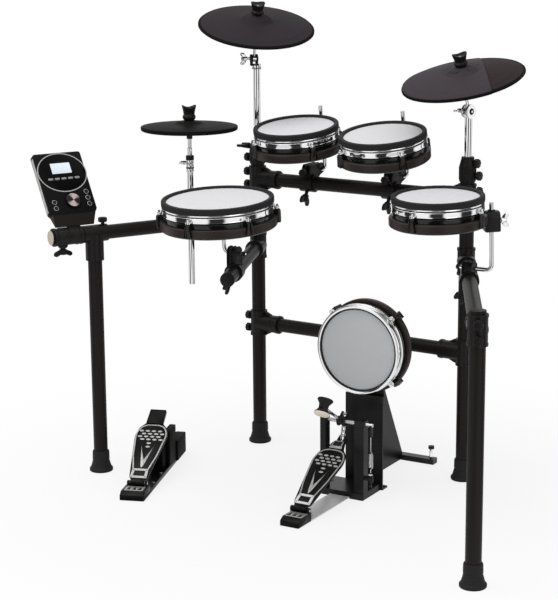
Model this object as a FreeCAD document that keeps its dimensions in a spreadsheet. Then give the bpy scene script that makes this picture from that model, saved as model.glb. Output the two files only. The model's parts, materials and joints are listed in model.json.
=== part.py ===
import FreeCAD, Part
import math
import os
import re
import Sketcher
from types import SimpleNamespace

Vector = FreeCAD.Vector
Rotation = FreeCAD.Rotation
Placement = FreeCAD.Placement
X = Vector(1, 0, 0)
Y = Vector(0, 1, 0)
Z = Vector(0, 0, 1)

# Lengths are in millimetres and angles in degrees.
# Positions are measured from the left rear post; the first two values move the
# origin to the floor under the middle of the kit.
SIZES = {
    "origin_right": 340.468,
    "origin_back": -287.969,
    "overrun": 4,
    "seat_gap": 0.5,
    "clamp_gap": 0.15,
    "running_gap": 0.05,
    "hinge_gap": 0.4,
    "skin_gap": 0.1,
    # Rack tubes
    "tube_d": 38,
    "tube_wall": 2,
    "rear_span": 655,
    "rear_post_height": 845,
    "upper_bar_height": 767,
    "lower_bar_height": 353,
    "left_wing_length": 506,
    "left_wing_angle": 25.8,
    "left_bar_height": 661,
    "left_bar_overhang": 125,
    "right_wing_length": 764,
    "right_wing_angle": 29,
    "right_leg_height": 640,
    "right_bar_drop": 42,
    "snare_arm_length": 483,
    "snare_arm_angle": 24.4,
    "snare_arm_height": 577,
    "cap_rim": 3,
    "cap_plug": 14,
    # Feet
    "foot_d": 64,
    "foot_flange": 9,
    "foot_slope": 16,
    "foot_height": 58,
    "foot_collar_d": 46,
    "foot_floor": 7,
    # Rack clamps and their hand knobs
    "clamp_d": 46,
    "clamp_height": 72,
    "socket_d": 49,
    "clamp_reach": 72,
    "knob_pitch": 36,
    "knob_d": 21,
    "knob_length": 11,
    "knob_stem_d": 9,
    "knob_stem_length": 6,
    "wing_stem_d": 8,
    "wing_stem_length": 12,
    "wing_hub_d": 13,
    "wing_hub_length": 12,
    "wing_span": 34,
    "wing_thick": 4.5,
    "wing_height": 18,
    # Caps that hold the cymbal tubes on the rear posts
    "cap_grip": 36,
    "cap_roof": 6,
    "cap_d": 43,
    "cap_neck_d": 31,
    "cap_taper": 22,
    "cap_knob_drop": 20,
    "cap_wing_rise": 12,
    # Rod clamps for the drum pads
    "rod_clamp_width": 42,
    "rod_sleeve_width": 26,
    "rod_sleeve_d": 24,
    "rod_web": 18,
    "rod_d": 11,
    "rod_bend": 13,
    "rod_above": 21,
    "rod_below": -30,
    "rod_tail": 14,
    # Drum pads
    "rim_width": 10,
    "shell_overhang": 1.5,
    "shell_height": 37,
    "shell_wall": 3,
    "edge_inset": 1.2,
    "edge_height": 64,
    "head_thick": 3,
    "hoop_low": 45,
    "hoop_band": 10,
    "hoop_groove": 2.5,
    "hoop_bead": 4,
    "hoop_tongue": 2.5,
    "hoop_inset": 6,
    "hoop_wall": 3,
    "hoop_face": 1,
    "guard_height": 9.5,
    "guard_round": 3,
    "guard_fit": 0.2,
    "lug_width": 18,
    "lug_depth": 9,
    "lug_root": 2,
    "lug_height": 42,
    "ear_width": 15,
    "ear_thick": 4,
    "ear_root": 2.6,
    "tension_d": 6,
    "tension_fit": 0.2,
    "tension_head_d": 10,
    "tension_head": 7,
    "bracket_width": 42,
    "bracket_height": 46,
    "bracket_lift": -4,
    "bracket_reach": 16,
    "bracket_cheek": 13,
    "rod_fit": 0.2,
    "snare_rim_d": 284,
    "snare_lug_count": 6,
    "snare_lug_angle": -25,
    "snare_tilt": 4,
    "snare_clamp_along": 376,
    "snare_leg_reach": 32,
    "snare_leg_up": 50,
    "snare_drop": 110,
    "snare_bracket_angle": 122,
    "tom_rim_d": 229,
    "tom_lug_count": 4,
    "tom_lug_angle": 52,
    "tom_leg_back": 42,
    "tom_leg_up": 34,
    "tom_drop": 89,
    "left_tom_along": 170,
    "left_tom_tilt": 8.5,
    "left_tom_bracket_angle": 91,
    "right_tom_along": 428,
    "right_tom_tilt": 9.8,
    "right_tom_bracket_angle": 95,
    "tom_leg_reach": 27,
    "floor_tom_along": 236,
    "floor_tom_tilt": 3,
    "floor_lug_angle": -3,
    "floor_leg_reach": 61,
    "floor_leg_up": 30,
    "floor_drop": 127,
    "floor_bracket_angle": 39,
    # Crash and ride stands
    "stand_tube_d": 19,
    "stand_tube_wall": 1.5,
    "stand_insert": 75,
    "tilter_base_d": 25,
    "tilter_base": 16,
    "tilter_drop": 14,
    "tilter_boss_d": 19,
    "tilter_boss_width": 9,
    "tilter_ear_thick": 5,
    "tilter_ear_width": 20,
    "tilter_pin_d": 6,
    "crash_ear_d": 24,
    "crash_side": -7,
    "crash_rise": 255,
    "crash_heading": -41.3,
    "crash_lean": 17.7,
    "crash_reach": 92,
    "ride_ear_d": 38,
    "ride_side": 0,
    "ride_rise": 145,
    "ride_heading": -101.8,
    "ride_lean": 15.6,
    "ride_reach": 86,
    "cymbal_rod_d": 8,
    "cymbal_hole_d": 13,
    "swing_gap": 1.1,
    "ball_drop": 6,
    "ball_fit": 0.3,
    "seat_top_d": 10.5,
    "seat_d": 34,
    "seat_cone": 5,
    "seat_sleeve_d": 16,
    "seat_sleeve": 15,
    # Cymbal pads
    "crash_d": 318,
    "ride_d": 318,
    "bell_flat_d": 34,
    "bell_d": 92,
    "bell_top": 35,
    "bell_bottom": 26,
    "bell_root": 21,
    "bell_root_under": 12,
    "bow_share": 0.82,
    "bow_top": 9,
    "bow_under": 1,
    "edge_top": 3.5,
    "edge_under": -4,
    "edge_round": 2.5,
    "hat_d": 262,
    "hat_flat_d": 40,
    "hat_bell_d": 80,
    "hat_bell_top": 18,
    "hat_bell_under": 4,
    "hat_bow": 10,
    "hat_edge": 6,
    "hat_under": -8,
    "hat_round": 3,
    "nut_washer_d": 44,
    "nut_washer": 3,
    "nut_cone": 5,
    "nut_neck_d": 30,
    "nut_neck": 2,
    "nut_d": 39,
    "nut_flare": 5,
    "nut_body": 11,
    "nut_top_d": 26,
    "nut_crown": 5,
    "nut_roof": 5,
    "nut_bore_gap": 0.1,
    # Hi-hat stand
    "hat_along": 232,
    "hat_offset": 35,
    "hat_tube_d": 17,
    "hat_tube_low": 498,
    "hat_tube_top": 812,
    "hat_joint_d": 27,
    "hat_joint": 39,
    "hat_height": 929,
    "hat_clamp_length": 46,
    "hat_sleeve_d": 27,
    "hat_sleeve": 52,
    "hat_web": 20,
    # Kick pad and its tower
    "kick_right": 466,
    "kick_back": -215,
    "kick_turn": 3,
    "kick_rim_d": 236,
    "kick_lug_count": 4,
    "kick_lug_angle": 45,
    "kick_height": 389,
    "kick_head_set": -38,
    "kick_side": 8,
    "tower_width": 110,
    "tower_front": 14,
    "tower_plate": 4,
    "tower_height": 256,
    "tower_top": 430,
    "tower_back_width": 84,
    "tower_back_low": 226,
    "tower_fin": 6,
    "tower_fin_side": -24,
    "tower_fin_top": 70,
    "tower_tail": 288,
    "tower_tail_height": 18,
    "tower_foot": 30,
    "tower_foot_height": 5,
    "tower_bar_length": 160,
    "tower_bar_depth": 26,
    "tower_bar_height": 15,
    "spike_d": 9,
    "spike_height": 42,
    "spike_head_d": 16,
    "spike_head": 8,
    "spike_inset": 12,
    # Kick pedal
    "pedal_offset": -20,
    "shaft_back": -72,
    "shaft_height": 203,
    "shaft_d": 10,
    "shaft_left": 62,
    "shaft_right": 90,
    "heel_hinge": -292,
    "heel_hinge_height": 30,
    "heel_width": 54,
    "heel_front": -350,
    "heel_back": -283,
    "heel_height": 23,
    "heel_nose": 14,
    "heel_ear": 6,
    "heel_ear_d": 14,
    "hinge_pin_d": 6,
    "plate_width": 58,
    "plate_thick": 3,
    "plate_lift": 2,
    "plate_end": -12,
    "casting_width": 138,
    "casting_front": -86,
    "casting_height": 18,
    "post_left": 50,
    "post_right": 56,
    "post_left_width": 16,
    "post_right_width": 28,
    "post_depth": 24,
    "post_cap": 10,
    "cam_pin_reach": 24,
    "cam_pin_angle": 38,
    "cam_pin_d": 6,
    "cam_cheek_d": 26,
    "cam_cheek": 4,
    "cam_gap": 12,
    "cam_hub_d": 20,
    "beater_angle": 32,
    "beater_reach": 117,
    "beater_rod_d": 8,
    "beater_tail": 20,
    "beater_socket_d": 16,
    "beater_socket": 22,
    "beater_d": 42,
    "beater_back": 23,
    "beater_felt": 7,
    "beater_waist_d": 25,
    "beater_waist": 7,
    "beater_lip": 4,
    "lever_angle": 98,
    "lever_reach": 24,
    "lever_thick": 6,
    "lever_width": 12,
    "lever_side": 86,
    "toe_back": 223,
    "toe_rise": 121,
    "chain_width": 9,
    "chain_thick": 4,
    "chain_roller_d": 9,
    "chain_link_count": 5,
    "board_thick": 7,
    "board_lift": 2,
    "board_start": 9,
    "board_end": 238,
    "board_heel_width": 48,
    "board_mid": 90,
    "board_mid_width": 70,
    "board_wide": 166,
    "board_wide_width": 90,
    "board_shoulder": 196,
    "board_shoulder_width": 78,
    "board_neck": 216,
    "board_neck_width": 44,
    "board_toe_width": 36,
    "board_round": 7,
    "board_knuckle_d": 12,
    "board_knuckle": 38,
    "clip_tail": 30,
    "clip_front": 10,
    "clip_low": 9,
    "clip_plate": 3,
    "clip_gap": 13,
    # Return spring and its adjuster
    "spring_d": 13,
    "spring_wire": 2.2,
    "spring_turn_count": 12,
    "spring_low": 91,
    "spring_high": 127,
    "spring_lead": 12,
    "spring_top": 172,
    "spring_foot": 76,
    "adjuster_d": 6,
    "adjuster_low": 40,
    "adjuster_nut_d": 12,
    "adjuster_nut": 6,
    "adjuster_arm": 8,
    "adjuster_arm_depth": 14,
    "adjuster_arm_height": 56,
    # Hi-hat foot controller
    "controller_right": 10,
    "controller_back": -617,
    "controller_turn": 22,
    "controller_width": 66,
    "controller_length": 430,
    "controller_floor": 12,
    "controller_hinge": 58,
    "controller_block_width": 44,
    "controller_block_start": 236,
    "controller_block_length": 100,
    "controller_block_height": 80,
    "controller_side": 28,
    "controller_side_width": 20,
    "controller_side_start": 262,
    "controller_side_height": 104,
    "controller_step_start": 336,
    "controller_step_width": 30,
    "controller_step_height": 62,
    "controller_toe": 264,
    # Sound module
    "module_along": 60,
    "module_forward": 10,
    "module_rise": 60,
    "module_lean": 35.5,
    "module_width": 138,
    "module_length": 184,
    "module_depth": 21,
    "module_lip": 24,
    "module_round": 9,
    "ring_width": 140,
    "ring_length": 116,
    "ring_centre": 123,
    "ring_edge": 3,
    "ring_height": 2,
    "screen_width": 56,
    "screen_length": 31,
    "screen_centre": 136,
    "screen_thick": 1.5,
    "screen_proud": 0.4,
    "screen_fit": 0.2,
    "key_count": 5,
    "key_pitch": 19,
    "key_width": 14,
    "key_length": 6,
    "key_centre": 105,
    "key_height": 1.5,
    "dial_d": 44,
    "dial_top_d": 41,
    "dial_height": 13,
    "dial_right": 7,
    "dial_centre": 38,
    "button_d": 10,
    "button_proud": 2.4,
    "button_sunk": 2,
    "button_well": 3.6,
    "button_gap": 0.35,
    "right_button_count": 3,
    "right_button_column": 52,
    "right_button_low": 26,
    "right_button_pitch": 18,
    "left_button_count": 2,
    "left_button_column": -46,
    "left_button_low": 20,
    "left_button_pitch": 18,
    "mount_sleeve_d": 49,
    "mount_sleeve_right": 22,
    "mount_sleeve_left": 60,
    "mount_wing_left": 32,
    "mount_neck_width": 34,
    "mount_neck_depth": 16,
    "mount_plate_width": 78,
    "mount_plate_low": 12,
    "mount_plate_length": 76,
    "mount_plate": 5,
}

doc = FreeCAD.newDocument("drum_kit")
sheet = doc.addObject("Spreadsheet::Sheet", "sizes")
for row, (name, value) in enumerate(SIZES.items(), start=1):
    sheet.set("A%d" % row, name)
    sheet.set("B%d" % row, str(value))
    sheet.setAlias("B%d" % row, name)
doc.recompute()
d = SimpleNamespace(**{name: float(sheet.get(name)) for name in SIZES})
upright_share = 0.9
straight_share = 1e-6
nodes = {}
points = {}


def linked(text):
    """Point every size name in an expression at the sheet."""
    return re.sub("[a-z_]+", lambda m: "sizes." + m.group() if m.group() in SIZES else m.group(), text)


def num(text):
    """Value of a size expression."""
    return float(sheet.evalExpression(text))


def at(x=0, y=0, z=0, turn=Rotation()):
    return Placement(Vector(x, y, z), turn)


def spun(angle, axis=Z):
    return at(turn=Rotation(axis, angle))


def aim(direction):
    """Turn that takes the upright axis to a direction."""
    return Rotation(Z, direction)


def axes(x, z):
    """Turn that takes the X and Z axes to two square directions."""
    return Rotation(x, z.cross(x), z, "ZXY")


def prim(kind, place=Placement(), **sizes):
    obj = doc.addObject("Part::" + kind, kind)
    for prop, text in sizes.items():
        obj.setExpression(prop, linked(text))
    obj.Placement = place
    return obj


def rod(radius, height, place=Placement()):
    return prim("Cylinder", place, Radius=radius, Height=height)


def block(length, width, height, place=Placement()):
    """Box standing on its placement, centred across both sides."""
    corner = at(-num(length) / 2, -num(width) / 2, 0)
    return prim("Box", place * corner, Length=length, Width=width, Height=height)


def fuse(*parts, place=Placement()):
    obj = doc.addObject("Part::MultiFuse", "fuse")
    obj.Shapes = list(parts)
    obj.Placement = place
    return obj


def cut(base, *tools, place=Placement()):
    obj = doc.addObject("Part::Cut", "cut")
    obj.Base = base
    obj.Tool = tools[0] if len(tools) == 1 else fuse(*tools)
    obj.Placement = place
    return obj


def group(*parts):
    obj = doc.addObject("Part::Compound", "group")
    obj.Links = list(parts)
    return obj


def put(label, obj, place=Placement()):
    """Name a finished piece and set it in the kit's frame."""
    obj.Label = label
    obj.Placement = at(-d.origin_right, -d.origin_back) * place
    nodes[label] = obj
    return obj


def mark(name, place, axis):
    """Keep the point and direction a joint turns or slides on."""
    final = at(-d.origin_right, -d.origin_back) * place
    points[name] = (final.Base, final.Rotation.multVec(axis))


def tube(length, place, radius="tube_d / 2", wall="tube_wall"):
    inner = rod(radius + " - " + wall, length + " + 2 * overrun", at(0, 0, -d.overrun))
    return cut(rod(radius, length), inner, place=place)


def outline(body, plane, corners):
    """Closed sketch of straight edges, each corner tied to two size expressions."""
    sketch = body.newObject("Sketcher::SketchObject", body.Name + "_outline")
    face = next(item for item in body.Origin.OriginFeatures if item.Role == plane)
    sketch.AttachmentSupport = [(face, "")]
    sketch.MapMode = "FlatFace"
    spots = [Vector(num(across), num(up), 0) for across, up in corners]
    count = len(spots)
    for index in range(count):
        sketch.addGeometry(Part.LineSegment(spots[index], spots[(index + 1) % count]))
    for index in range(count):
        sketch.addConstraint(Sketcher.Constraint("Coincident", index, 2, (index + 1) % count, 1))
    for index, corner in enumerate(corners):
        for kind, text, line in zip(("DistanceX", "DistanceY"), corner, (-2, -1)):
            value = num(text)
            if value == 0:
                sketch.addConstraint(Sketcher.Constraint("PointOnObject", index, 1, line))
            elif value > 0:
                spot = sketch.addConstraint(Sketcher.Constraint(kind, -1, 1, index, 1, value))
                sketch.setExpression("Constraints[%d]" % spot, linked(text))
            else:
                spot = sketch.addConstraint(Sketcher.Constraint(kind, index, 1, -1, 1, -value))
                sketch.setExpression("Constraints[%d]" % spot, linked("-(" + text + ")"))
    return sketch


def turned(name, corners):
    """Piece turned about the upright axis from half its section."""
    body = doc.addObject("PartDesign::Body", name)
    section = outline(body, "XZ_Plane", corners)
    turn = body.newObject("PartDesign::Revolution", name + "_turn")
    turn.Profile = section
    turn.ReferenceAxis = (section, ["V_Axis"])
    turn.Angle = 360
    return body


def slab(name, plane, corners, thick, rounded=None, radius=None):
    """Plate of one outline, equally thick to both sides, with chosen edges rounded."""
    body = doc.addObject("PartDesign::Body", name)
    face = outline(body, plane, corners)
    pad_step = body.newObject("PartDesign::Pad", name + "_pad")
    pad_step.Profile = face
    pad_step.SideType = "Symmetric"
    pad_step.setExpression("Length", linked(thick))
    if rounded:
        doc.recompute()
        edges = enumerate(pad_step.Shape.Edges, start=1)
        chosen = ["Edge%d" % index for index, edge in edges if rounded(edge)]
        fillet = body.newObject("PartDesign::Fillet", name + "_round")
        fillet.Base = (pad_step, chosen)
        fillet.setExpression("Radius", linked(radius))
    return body


def knob(place):
    """Round hand knob on a short stem."""
    stem = rod("knob_stem_d / 2", "knob_stem_length")
    grip = rod("knob_d / 2", "knob_length", at(0, 0, d.knob_stem_length))
    return fuse(stem, grip, place=place)


def wing_bolt(place):
    """Bolt with a flat two-winged head."""
    stem = rod("wing_stem_d / 2", "wing_stem_length")
    hub = rod("wing_hub_d / 2", "wing_hub_length", at(0, 0, d.wing_stem_length))
    wings = block("wing_span", "wing_thick", "wing_height", at(0, 0, d.wing_stem_length))
    return fuse(stem, hub, wings, place=place)


def tee(place):
    """Clamp with a sleeve on one tube and a socket for another."""
    low = -d.clamp_height / 2
    sleeve = rod("clamp_d / 2", "clamp_height", at(0, 0, low))
    socket = rod("socket_d / 2", "clamp_reach", spun(90, Y))
    main = rod("tube_d / 2 + clamp_gap", "clamp_height + 2 * overrun", at(0, 0, low - d.overrun))
    side = rod("tube_d / 2 + clamp_gap", "clamp_reach + overrun", spun(90, Y))
    return cut(fuse(sleeve, socket), main, side, place=place)


def tee_knobs(place):
    """Pair of knobs on the side away from the socket."""
    rises = (-d.knob_pitch / 2, d.knob_pitch / 2)
    return [knob(place * at(-d.clamp_d / 2, 0, rise, aim(-X))) for rise in rises]


# Rack tubes
left_run = Rotation(Z, -d.left_wing_angle).multVec(-Y)
right_run = Rotation(Z, d.right_wing_angle).multVec(-Y)
arm_run = Rotation(Z, d.snare_arm_angle).multVec(-Y)
right_post = X * d.rear_span
left_leg = left_run * d.left_wing_length
right_leg = right_post + right_run * d.right_wing_length
right_bar_height = d.right_leg_height - d.right_bar_drop
bar_start = d.tube_d / 2 + d.seat_gap
bar_inset = " - tube_d / 2 - seat_gap"


def bar(start, run, height, length):
    """Level tube that starts just clear of a post."""
    place = Placement(start + run * bar_start + Z * height, aim(run))
    return tube(length + bar_inset, place)


post_length = "rear_post_height - foot_floor"
put("rear_posts", group(*[tube(post_length, at(x, 0, d.foot_floor)) for x in (0, d.rear_span)]))
put("front_legs", group(
    tube("left_bar_height - tube_d / 2 - seat_gap - foot_floor", at(left_leg.x, left_leg.y, d.foot_floor)),
    tube("right_leg_height - foot_floor", at(right_leg.x, right_leg.y, d.foot_floor))))
put("cross_bars", group(*[bar(Vector(), X, rise, "rear_span" + bar_inset)
                          for rise in (d.upper_bar_height, d.lower_bar_height)]))
put("side_bars", group(
    bar(Vector(), left_run, d.left_bar_height, "left_wing_length + left_bar_overhang"),
    bar(right_post, right_run, right_bar_height, "right_wing_length" + bar_inset)))
put("snare_arm", group(bar(Vector(), arm_run, d.snare_arm_height, "snare_arm_length")))


def end_cap(place):
    """Plug in the open end of a tube, its rim flush with the tube's outside."""
    plug = rod("tube_d / 2 - tube_wall - clamp_gap", "cap_plug + cap_rim", at(0, 0, -d.cap_plug))
    rim = rod("tube_d / 2", "cap_rim", at(0, 0, d.skin_gap))
    return fuse(plug, rim, place=place)


left_bar_end = left_run * (d.left_wing_length + d.left_bar_overhang) + Z * d.left_bar_height
put("end_caps", group(
    end_cap(Placement(left_bar_end, aim(left_run))),
    end_cap(Placement(right_leg + Z * d.right_leg_height, Rotation())),
    end_cap(Placement(arm_run * d.snare_arm_length + Z * d.snare_arm_height, aim(arm_run)))))


def foot(spot):
    """Rubber foot with a flange and a collar round the tube."""
    flange = rod("foot_d / 2", "foot_flange")
    slope = prim("Cone", at(0, 0, d.foot_flange), Radius1="foot_d / 2", Radius2="foot_collar_d / 2",
                 Height="foot_slope")
    collar = rod("foot_collar_d / 2", "foot_height")
    bore = rod("tube_d / 2 + clamp_gap", "foot_height + overrun", at(0, 0, d.foot_floor - d.skin_gap))
    return cut(fuse(flange, slope, collar), bore, place=at(spot.x, spot.y))


put("rubber_feet", group(*[foot(spot) for spot in (Vector(), right_post, left_leg, right_leg)]))

# Clamps of the rack and the knobs that tighten them
tee_places = [
    Placement(Z * d.upper_bar_height, axes(X, Z)),
    Placement(Z * d.left_bar_height, axes(left_run, Z)),
    Placement(Z * d.snare_arm_height, axes(arm_run, Z)),
    Placement(Z * d.lower_bar_height, axes(X, Z)),
    Placement(right_post + Z * d.upper_bar_height, axes(-X, Z)),
    Placement(right_post + Z * right_bar_height, axes(right_run, Z)),
    Placement(right_post + Z * d.lower_bar_height, axes(-X, Z)),
    Placement(right_leg + Z * right_bar_height, axes(-right_run, Z)),
]
leg_tee = Placement(left_leg + Z * d.left_bar_height, axes(-Z, left_run))


def cap_wing_place(side):
    """Where a cap's wing bolt starts, on its left (-1) or right (1) side."""
    return at(side * d.cap_neck_d / 2, 0, d.cap_wing_rise, aim(X * side))


def post_cap(place, side):
    """Cap on a rear post that narrows to the cymbal tube, bored for the wing bolt."""
    lower = rod("cap_d / 2", "cap_grip + cap_roof", at(0, 0, -d.cap_grip))
    upper = prim("Cone", at(0, 0, d.cap_roof), Radius1="cap_d / 2", Radius2="cap_neck_d / 2",
                 Height="cap_taper")
    post_bore = rod("tube_d / 2 + clamp_gap", "cap_grip + overrun + skin_gap",
                    at(0, 0, -d.cap_grip - d.overrun))
    tube_bore = rod("stand_tube_d / 2 + running_gap", "cap_roof + cap_taper + 2 * overrun",
                    at(0, 0, -d.overrun))
    bolt_bore = rod("wing_stem_d / 2 + clamp_gap", "wing_stem_length", cap_wing_place(side))
    return cut(fuse(lower, upper), post_bore, tube_bore, bolt_bore, place=place)


left_inner = axes(Z.cross(left_run), Z)


def hat_clamp(place):
    """Clamp on the left bar with an upright sleeve for the hi-hat tube."""
    grip = rod("socket_d / 2", "hat_clamp_length", at(0, d.hat_clamp_length / 2, 0, aim(-Y)))
    sleeve = rod("hat_sleeve_d / 2", "hat_sleeve", at(d.hat_offset, 0, -d.hat_sleeve / 2))
    web = block("hat_offset", "hat_web", "hat_sleeve / 2", at(d.hat_offset / 2, 0, -d.hat_sleeve / 4))
    bar_bore = rod("tube_d / 2 + clamp_gap", "hat_clamp_length + 2 * overrun",
                   at(0, d.hat_clamp_length / 2 + d.overrun, 0, aim(-Y)))
    tube_bore = rod("hat_tube_d / 2 + running_gap", "hat_sleeve + 2 * overrun",
                    at(d.hat_offset, 0, -d.hat_sleeve / 2 - d.overrun))
    return cut(fuse(grip, sleeve, web), bar_bore, tube_bore, place=place)


caps = ((at(0, 0, d.rear_post_height), -1), (at(d.rear_span, 0, d.rear_post_height), 1))
hat_place = Placement(left_run * d.hat_along + Z * d.left_bar_height, left_inner)
put("rack_clamps", group(*[tee(place) for place in tee_places], tee(leg_tee),
                         *[post_cap(place, side) for place, side in caps], hat_clamp(hat_place)))
cap_knobs = [knob(place * at(side * d.cap_d / 2, 0, -d.cap_knob_drop, aim(X * side))) for place, side in caps]
leg_knob = knob(leg_tee * at(-d.clamp_d / 2, 0, (d.knob_d - d.clamp_height) / 2, aim(-X)))
put("clamp_knobs", group(*[item for place in tee_places for item in tee_knobs(place)], *cap_knobs, leg_knob))


# Clamps that carry the drum pads' rods
def rod_clamp(place, run, back, up):
    """Sleeve on a tube joined by a web to a sleeve for a level rod."""
    reach = Vector(0, num(back), num(up))
    half = d.rod_clamp_width / 2
    holder_half = d.rod_sleeve_width / 2
    sleeve = rod("socket_d / 2", "rod_clamp_width", Placement(run * -half, aim(run)))
    holder = rod("rod_sleeve_d / 2", "rod_sleeve_width", Placement(reach - X * holder_half, aim(X)))
    web = block("rod_sleeve_width", "rod_web", "sqrt((%s)^2 + (%s)^2)" % (back, up),
                Placement(Vector(), axes(X, reach)))
    tube_bore = rod("tube_d / 2 + clamp_gap", "rod_clamp_width + 2 * overrun",
                    Placement(run * -(half + d.overrun), aim(run)))
    rod_bore = rod("rod_d / 2 + running_gap", "rod_sleeve_width + 2 * overrun",
                   Placement(reach - X * (holder_half + d.overrun), aim(X)))
    return cut(fuse(sleeve, holder, web), tube_bore, rod_bore, place=place)


def pad_spec(rim, lugs, first, tilt, spot, run, back, up, reach, side, drop, angle, above):
    """One pad: its sizes by name, the tube spot it hangs on and the side its rod stands on."""
    return SimpleNamespace(rim=rim, lugs=lugs, first=first, tilt=tilt, spot=spot, run=run, back=back, up=up,
                           reach=reach, side=side, drop=drop, angle=angle, above=above)


upper_bar = Z * d.upper_bar_height
tom_leg = ("tom_leg_back", "tom_leg_up", "tom_leg_reach", 1, "tom_drop")
pads = {
    "snare": pad_spec("snare_rim_d", d.snare_lug_count, d.snare_lug_angle, d.snare_tilt,
                      arm_run * d.snare_clamp_along + Z * d.snare_arm_height, arm_run,
                      "0", "snare_leg_up", "snare_leg_reach", -1, "snare_drop", d.snare_bracket_angle,
                      "rod_below"),
    "left_tom": pad_spec("tom_rim_d", d.tom_lug_count, d.tom_lug_angle, d.left_tom_tilt,
                         upper_bar + X * d.left_tom_along, X, *tom_leg, d.left_tom_bracket_angle,
                         "rod_above"),
    "right_tom": pad_spec("tom_rim_d", d.tom_lug_count, d.tom_lug_angle, d.right_tom_tilt,
                          upper_bar + X * d.right_tom_along, X, *tom_leg, d.right_tom_bracket_angle,
                          "rod_above"),
    "floor_tom": pad_spec("tom_rim_d", d.tom_lug_count, d.floor_lug_angle, d.floor_tom_tilt,
                          right_post + right_run * d.floor_tom_along + Z * right_bar_height, right_run,
                          "0", "floor_leg_up", "floor_leg_reach", 1, "floor_drop", d.floor_bracket_angle,
                          "rod_below"),
}
put("rod_clamps", group(*[rod_clamp(Placement(pad.spot, Rotation()), pad.run, pad.back, pad.up)
                          for pad in pads.values()]))
wing_slant_share = 0.5
pad_wings = []
for pad in pads.values():
    wing_run = (pad.run.cross(Z) * wing_slant_share - Z).normalize()
    pad_wings.append(wing_bolt(Placement(pad.spot + wing_run * d.socket_d / 2, aim(wing_run))))
cap_wings = [wing_bolt(place * cap_wing_place(side)) for place, side in caps]
hat_wing = wing_bolt(hat_place * at(d.hat_offset + d.hat_sleeve_d / 2, 0, 0, aim(X)))
put("wing_bolts", group(*pad_wings, *cap_wings, hat_wing))


# Drum pads, each standing on the underside of its shell
def drum(name, rim, lugs, first, place, extras=(), holes=()):
    """Shell with lugs, steel hoop with tension rods, and head with its rubber guard."""
    half = rim + " / 2"
    wall = half + " + shell_overhang"
    edge = half + " - rim_width - edge_inset"
    shell = turned(name + "_turned", [
        ("0", "0"), (wall, "0"), (wall, "shell_height"), (edge, "shell_height"), (edge, "edge_height"),
        (edge + " - shell_wall", "edge_height"), (edge + " - shell_wall", "shell_height - shell_wall"),
        (wall + " - shell_wall", "shell_height - shell_wall"), (wall + " - shell_wall", "shell_wall"),
        ("0", "shell_wall")])
    around = [spun(first + index * 360 / lugs) for index in range(int(lugs))]
    lug_start = num(wall + " - lug_root")
    blocks = [prim("Box", turn * at(lug_start, -d.lug_width / 2, 0), Length="lug_root + lug_depth",
                   Width="lug_width", Height="lug_height") for turn in around]
    body = fuse(shell, *blocks, *extras)
    put(name + "_shell", cut(body, *holes) if holes else body, place)
    inner = half + " - hoop_inset"
    face = half + " - hoop_face"
    neck = inner + " + hoop_wall"
    groove_low = "hoop_low + hoop_band"
    groove_high = groove_low + " + hoop_groove"
    shoulder = groove_high + " + hoop_bead"
    tongue = shoulder + " + hoop_tongue"
    ring = turned(name + "_ring", [
        (inner, "hoop_low"), (face, "hoop_low"), (face, groove_low), (neck, groove_low), (neck, groove_high),
        (face, groove_high), (face, shoulder), (neck, shoulder), (neck, tongue), (inner, tongue)])
    ear_start = num(face + " - ear_root")
    ear_length = "shell_overhang + hoop_face + ear_root + lug_depth"
    pin_out = num(wall + " + lug_depth / 2")
    ears = [prim("Box", turn * at(ear_start, -d.ear_width / 2, d.hoop_low), Length=ear_length,
                 Width="ear_width", Height="ear_thick") for turn in around]
    bores = [rod("tension_d / 2 + tension_fit", "ear_thick + 2 * overrun",
                 turn * at(pin_out, 0, d.hoop_low - d.overrun)) for turn in around]
    pins = [fuse(rod("tension_d / 2", "hoop_low + ear_thick - lug_height + skin_gap", at(0, 0, d.lug_height)),
                 rod("tension_head_d / 2", "tension_head", at(0, 0, d.hoop_low + d.ear_thick + d.skin_gap)),
                 place=turn * at(pin_out, 0, 0)) for turn in around]
    put(name + "_hoop", group(cut(fuse(ring, *ears), *bores), *pins), place)
    guard_low = shoulder + " + skin_gap"
    guard_top = shoulder + " + guard_height"
    guard_in = half + " - rim_width"
    slot_in = inner + " - guard_fit"
    slot_out = neck + " + guard_fit"
    guard = turned(name + "_guard", [
        (guard_in, guard_low), (slot_in, guard_low), (slot_in, tongue + " + guard_fit"),
        (slot_out, tongue + " + guard_fit"), (slot_out, guard_low), (half, guard_low),
        (half, guard_top + " - guard_round"), (half + " - guard_round", guard_top),
        (guard_in + " + guard_round", guard_top), (guard_in, guard_top + " - guard_round")])
    skin = rod(guard_in + " - guard_fit", "head_thick", at(0, 0, d.edge_height + d.skin_gap))
    put(name + "_head", group(skin, guard), place)


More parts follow.
